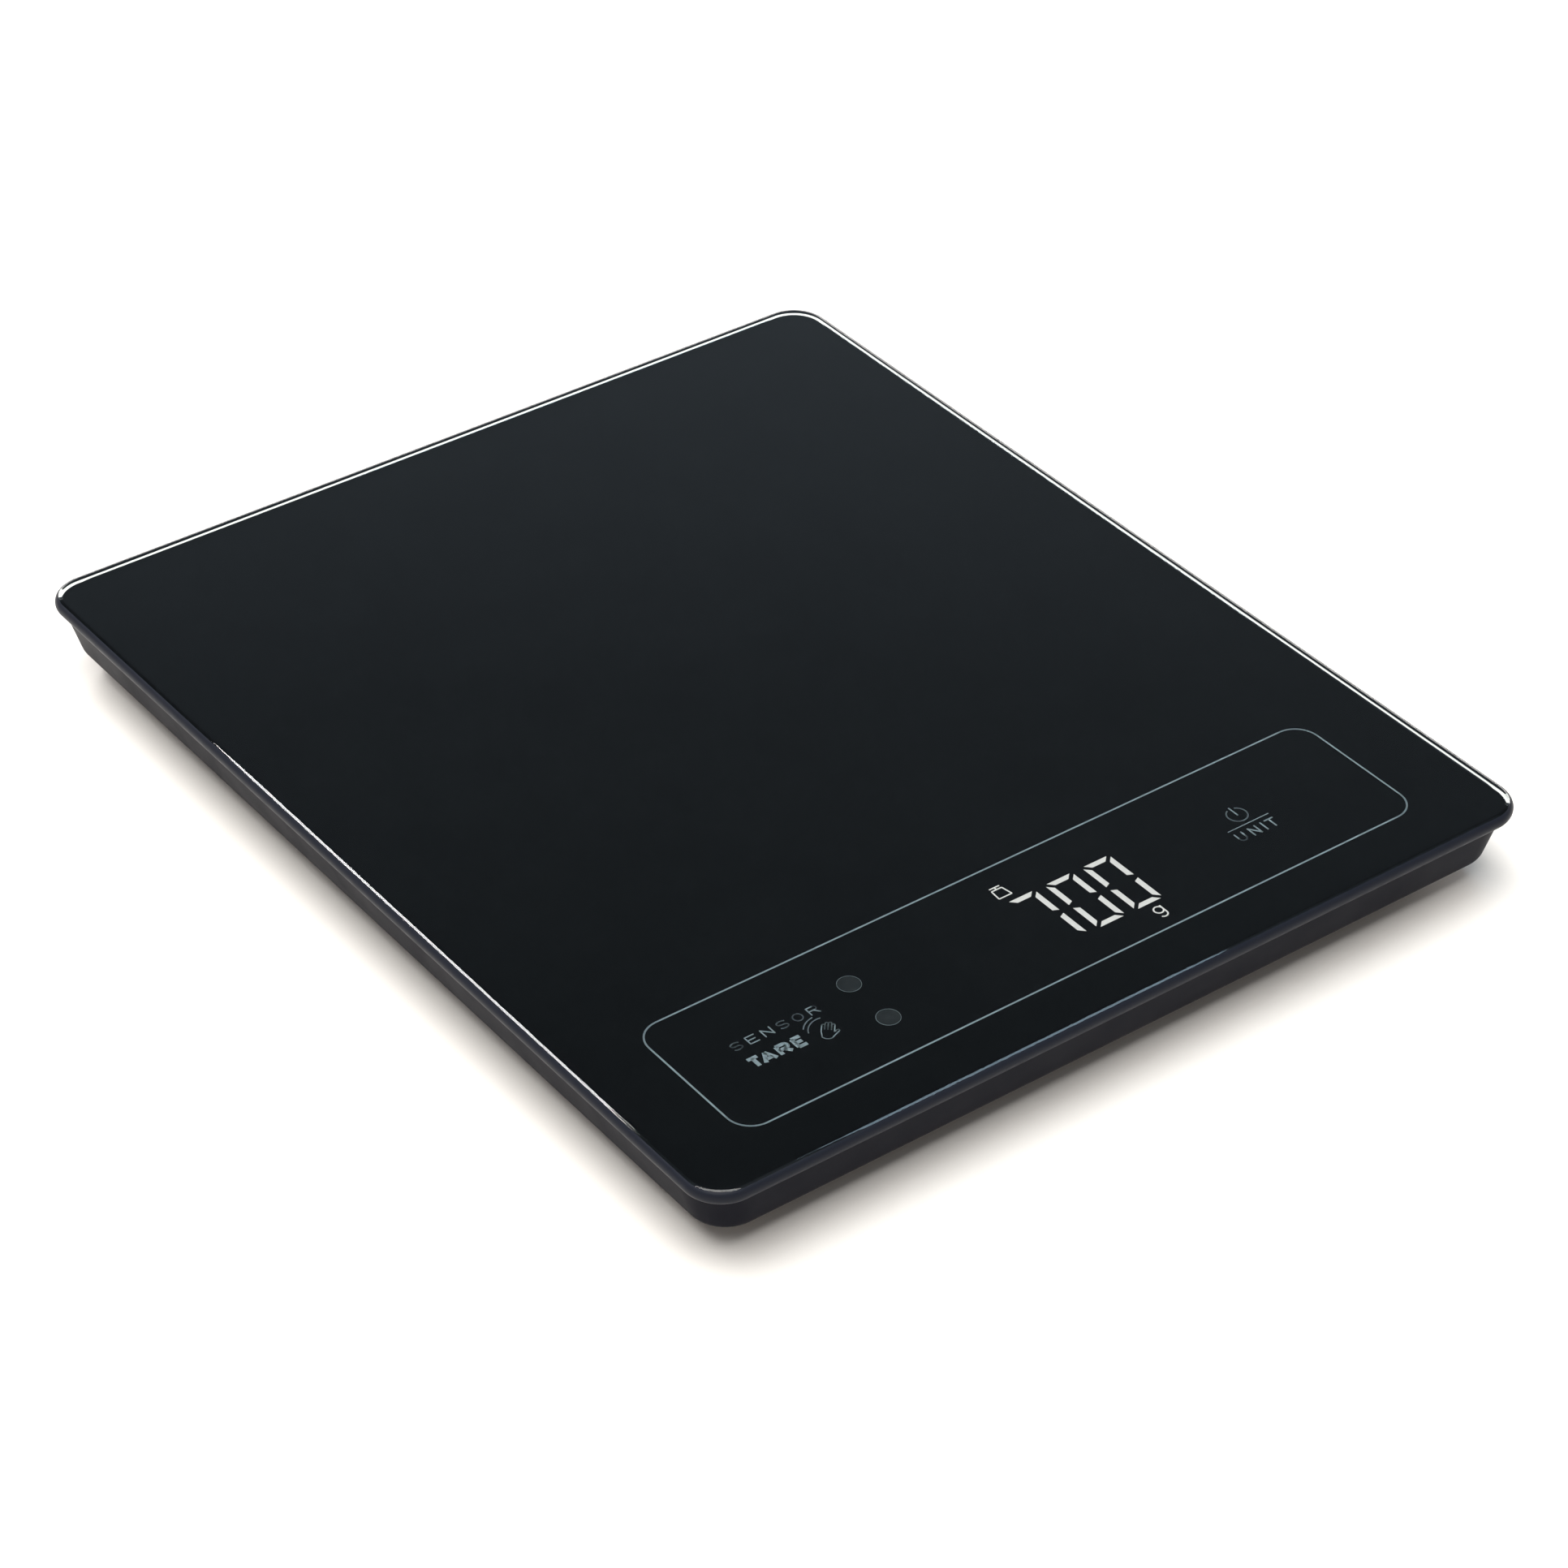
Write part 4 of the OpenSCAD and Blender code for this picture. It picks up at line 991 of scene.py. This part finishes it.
# bars along loose edges, each with a disc at both ends where the ends are round
line_tree, inputs, outputs = new_tree("printed_line", {"Width": 0.0003, "Height": 0.00003, "Round ends": 1})
line_size = inputs.outputs
line_path = add_node(line_tree, "GeometryNodeMeshToCurve", {"Mesh": line_size["Geometry"]})
line_flat = add_node(line_tree, "GeometryNodeSetCurveNormal", {"Curve": line_path.outputs["Curve"]})
line_flat.mode = "Z_UP"
line_section = add_node(line_tree, "GeometryNodeCurvePrimitiveQuadrilateral",
                        {"Width": line_size["Width"], "Height": line_size["Height"]})
line_bars = add_node(line_tree, "GeometryNodeCurveToMesh",
                     {"Curve": line_flat.outputs["Curve"], "Profile Curve": line_section.outputs["Curve"],
                      "Fill Caps": True})
line_radius = add_node(line_tree, "ShaderNodeMath", {0: line_size["Width"], 1: 0.5}, operation="MULTIPLY")
line_disc = add_node(line_tree, "GeometryNodeMeshCylinder",
                     {"Vertices": 16, "Radius": line_radius.outputs[0], "Depth": line_size["Height"]})
line_dots = add_node(line_tree, "GeometryNodeInstanceOnPoints",
                     {"Points": line_size["Geometry"], "Instance": line_disc.outputs["Mesh"],
                      "Selection": line_size["Round ends"]})
line_join = add_node(line_tree, "GeometryNodeJoinGeometry", {})
for part in (line_bars.outputs["Mesh"], line_dots.outputs["Instances"]):
    line_tree.links.new(part, line_join.inputs["Geometry"])
close_tree(line_tree, inputs, outputs, line_join.outputs["Geometry"])
ink_layer = 0.03 * mm
ink_z = ink_top + ink_sink + ink_layer / 2


def printed(name, lines, width, round_ends=1):
    """Printed strokes of one width along lines of (x, y) points in millimetres."""
    points, edges = [], []
    for line in lines:
        for a, b in zip(line, line[1:]):
            edges.append((len(points), len(points) + 1))
            points += [(a[0] * mm, a[1] * mm, ink_z), (b[0] * mm, b[1] * mm, ink_z)]
    mesh = grown_mesh(name, points_mesh(points, edges), line_tree,
                      {"Width": width * mm, "Height": ink_layer, "Round ends": round_ends}, pale_ink)
    return new_piece(name, mesh, pale_ink, "scale_body", "black_print")


def arc(x, y, radius, start, end, steps=16):
    turns = [math.radians(start + (end - start) * k / steps) for k in range(steps + 1)]
    return [(x + radius * math.cos(a), y + radius * math.sin(a)) for a in turns]


def rounded_outline(left, right, bottom, top, radius):
    points = []
    for x, y, turn in ((right - radius, top - radius, 0), (left + radius, top - radius, 90),
                       (left + radius, bottom + radius, 180), (right - radius, bottom + radius, 270)):
        points += arc(x, y, radius, turn, turn + 90, 10)
    return points + points[:1]


def letter(kind, x, y, w, h):
    """The strokes of a plain letter that fills a box w by h, with its low corner at x, y."""
    up, right, half = y + h, x + w, y + h / 2
    bowl = h / 4
    if kind == "E":
        return [[(right, up), (x, up), (x, y), (right, y)], [(x, half), (x + 0.85 * w, half)]]
    if kind == "N":
        return [[(x, y), (x, up), (right, y), (right, up)]]
    if kind == "I":
        return [[(x + w / 2, y), (x + w / 2, up)]]
    if kind == "T":
        return [[(x, up), (right, up)], [(x + w / 2, y), (x + w / 2, up)]]
    if kind == "A":
        bar = y + 0.3 * h
        return [[(x, y), (x + w / 2, up), (right, y)], [(x + 0.2 * w, bar), (x + 0.8 * w, bar)]]
    if kind == "R":
        lobe = [(x, up)] + arc(right - bowl, up - bowl, bowl, 90, -90) + [(x, half)]
        return [[(x, y), (x, up)], lobe, [(x + w / 2, half), (right, y)]]
    if kind == "U":
        return [[(x, up)] + arc(x + w / 2, y + w / 2, w / 2, 180, 360) + [(right, up)]]
    if kind == "O":
        return [[(x + w / 2 + w / 2 * math.cos(a), half + h / 2 * math.sin(a))
                 for a in [2 * math.pi * k / 28 for k in range(29)]]]
    if kind == "S":
        side = w / 2
        upper = [(x + side + side * math.cos(a), up - bowl + bowl * math.sin(a))
                 for a in [math.radians(35 + 235 * k / 16) for k in range(17)]]
        lower = [(x + side + side * math.cos(a), y + bowl + bowl * math.sin(a))
                 for a in [math.radians(90 - 235 * k / 16) for k in range(17)]]
        return [upper + lower]


def word(spelling, places, y, h):
    """Letters with their own left edges and widths, on one baseline."""
    return [line for kind, (x, w) in zip(spelling, places) for line in letter(kind, x, y, w, h)]


panel_half, panel_bottom, panel_top, panel_corner = 78.35, -101.3, -67.95, 5
printed("panel_outline_print",
        [rounded_outline(-panel_half, panel_half, panel_bottom, panel_top, panel_corner)], 0.35)
sensor_left, sensor_pitch, sensor_letter_w = -66.7, 3.35, 1.9
sensor_letters = [(sensor_left + sensor_pitch * k, sensor_letter_w) for k in range(6)]
printed("sensor_label_print", word("SENSOR", sensor_letters, -82.73, 1.95), 0.26)
tare_letters = [(-66.55, 2.1), (-64.1, 2.4), (-60.45, 2.1), (-57.0, 1.8)]
printed("tare_label_print", word("TARE", tare_letters, -88.4, 2.4), 0.8, 0)
unit_letters = [(44.8, 1.6), (48.02, 1.65), (50.9, 0.5), (52.2, 1.9)]
printed("unit_label_print", word("UNIT", unit_letters, -89.75, 2.3), 0.32)
printed("unit_rule_print", [[(44.4, -86.1), (54.4, -86.1)]], 0.2, 0)
power_break = 27.5
printed("power_mark_print", [arc(key_x, -82.95, 2.05, 90 + power_break, 450 - power_break, 32),
                             [(key_x, -80.55), (key_x, -83.1)]], 0.3)
# the outline of an open hand, with the arcs of its wave
palm = (-50.6, -88.3)
reach = math.radians(50)
along, across = (math.cos(reach), math.sin(reach)), (-math.sin(reach), math.cos(reach))


def on_hand(forward, sideways):
    return (palm[0] + forward * along[0] + sideways * across[0],
            palm[1] + forward * along[1] + sideways * across[1])


def fingertip(forward, sideways, radius):
    """A half circle over the end of a finger, from its left side to its right side."""
    turns = [math.pi * (0.5 - k / 8) for k in range(9)]
    return [on_hand(forward + radius * math.cos(a), sideways + radius * math.sin(a)) for a in turns]


finger_pitch, finger_radius, valley = 0.6, 0.27, 0.95
hand_line = [on_hand(-0.9, 1.0), on_hand(0.3, 1.22)]
for k, length in enumerate((2.0, 2.55, 2.65, 2.2)):
    sideways = 0.95 - finger_pitch * k
    hand_line += fingertip(length, sideways, finger_radius)
    hand_line.append(on_hand(valley if k < 3 else 0.4, sideways - 0.3))
hand_line += fingertip(0.75, -1.75, 0.3) + [on_hand(-0.6, -1.25)]
wrist_turns = [math.pi * (1 + k / 10) for k in range(1, 10)]
hand_line += [on_hand(-0.9 + 0.75 * math.sin(a), 1.05 * math.cos(a)) for a in wrist_turns] + hand_line[:1]
printed("hand_outline_print", [hand_line], 0.2)
wave_middle = (-50.0, -87.9)
printed("hand_wave_print", [arc(*wave_middle, 3.75, 80, 155, 14), arc(*wave_middle, 4.6, 95, 140, 10)], 0.24)
sensor_x, sensor_ys, sensor_radius = -39.4, (-91.2, -79.7), 2.26
ring_lines = [arc(sensor_x, y, sensor_radius, 0, 360, 40) for y in sensor_ys]
printed("sensor_rings_print", ring_lines, 0.05)


# ---- Lit display ----
# Light from the guides glows through the smoked filter: three digits, a weight symbol and a small g.
# Each digit is seven strokes with slanted ends.

glow, shader = new_material("lit_stroke_glow", (0.2, 0.2, 0.19), 0.5)
shader.inputs["Specular IOR Level"].default_value = 0
shader.inputs["Emission Color"].default_value = (1.0, 0.97, 0.94, 1)
shader.inputs["Emission Strength"].default_value = 0.62
vary_colour(glow, shader, add_noise(glow, 700), (0.18, 0.178, 0.172), (0.22, 0.218, 0.21))
digit_w, digit_h, stroke, stroke_gap = 5.4, 14.4, 1.15, 0.58
digit_pitch, last_digit_x, digits_y = 8.85, 18.8, -86


def stroke_outline(k):
    """One of a digit's seven strokes: 0 top, 1 middle, 2 bottom, then the four uprights."""
    w, h, t, g = digit_w / 2, digit_h / 2, stroke / 2, stroke_gap
    if k == 1:
        return [(g - w, 0), (t + g - w, t), (w - t - g, t), (w - g, 0), (w - t - g, -t), (t + g - w, -t)]
    if k < 3:
        s = 1 - k
        return [(g - w - t, s * (h + t)), (w + t - g, s * (h + t)), (w - t - g, s * (h - t)),
                (t + g - w, s * (h - t))]
    sx = 1 if k % 2 == 0 else -1
    sy = 1 if k < 5 else -1
    return [(sx * (w + t), sy * (h + t - g)), (sx * (w + t), sy * g), (sx * (w - t), sy * (t + g)),
            (sx * (w - t), sy * (h - t - g))]


lit = bmesh.new()


def lit_plate(outline):
    low = [lit.verts.new((x * mm, y * mm, ink_top + ink_sink)) for x, y in outline]
    high = [lit.verts.new((x * mm, y * mm, ink_top + ink_sink + ink_layer)) for x, y in outline]
    lit.faces.new(low[::-1])
    lit.faces.new(high)
    join_rings(lit, low, high)


strokes_of = {"7": (0, 4, 6), "0": (0, 2, 3, 4, 5, 6)}
for place, digit in enumerate("700"):
    middle_x = last_digit_x - (2 - place) * digit_pitch
    for k in strokes_of[digit]:
        lit_plate([(middle_x + x, digits_y + y) for x, y in stroke_outline(k)])


def lit_bar(a, b, width):
    run = math.hypot(b[0] - a[0], b[1] - a[1])
    x, y = (b[1] - a[1]) / run * width / 2, (a[0] - b[0]) / run * width / 2
    lit_plate([(a[0] - x, a[1] - y), (a[0] + x, a[1] + y), (b[0] + x, b[1] + y), (b[0] - x, b[1] - y)])


weight_body = [(-2.5, -76.5), (0.48, -76.5), (0.05, -74.0), (-2.3, -74.0)]
weight_line = 0.3
for a, b in zip(weight_body, weight_body[1:] + weight_body[:1]):
    lit_bar(a, b, weight_line)
lit_bar((-1.15, -74.0), (-1.15, -73.3), weight_line)
lit_bar((-2.3, -73.3), (0.0, -73.3), weight_line)
gram_line = 0.32
gram_bowl = arc(18.9, -96.2, 0.95, 0, 360, 20)
gram_tail = [(19.85, -95.25), (19.85, -97.4)] + arc(18.9, -97.4, 0.95, 0, -140, 10)
for a, b in list(zip(gram_bowl, gram_bowl[1:])) + list(zip(gram_tail, gram_tail[1:])):
    lit_bar(a, b, gram_line)
bmesh.ops.recalc_face_normals(lit, faces=lit.faces)
new_piece("lit_strokes", shaded_mesh(lit, "lit_strokes"), glow, "scale_body", "light_guide")


# ---- Glass platform ----
# One sheet of tempered glass, cut with round corners. Its rim is ground to a half round, and the
# polished band above the paint is what catches the light along the edges.

glass, shader = new_material("tempered_glass", (0.9, 0.97, 0.96), 0.0)
shader.inputs["Transmission Weight"].default_value = 1.0
shader.inputs["IOR"].default_value = 1.52
vary_roughness(glass, shader, add_noise(glass, 12, 4.0), 0.01, 0.03)
# the last point lies on the flat top, so that the flat keeps its own shading up to the rim
glass_rim = rim_arc(-90, low_paint_top, low_steps, paint_skin) + rim_arc(low_paint_top, clear_top, 6)
glass_rim += rim_arc(clear_top, paint_top, high_steps, paint_skin) + rim_arc(paint_top, 90, 6)
glass_rim.append((half_thick + 0.3 * mm, glass_high.z))
glass_slab = rounded_slab(glass_size.x, glass_size.y, glass_radius, glass_rim)
new_piece("glass_sheet", shaded_mesh(glass_slab, "glass_sheet", 40), glass, "scale_body", "glass",
          "glass_platform")
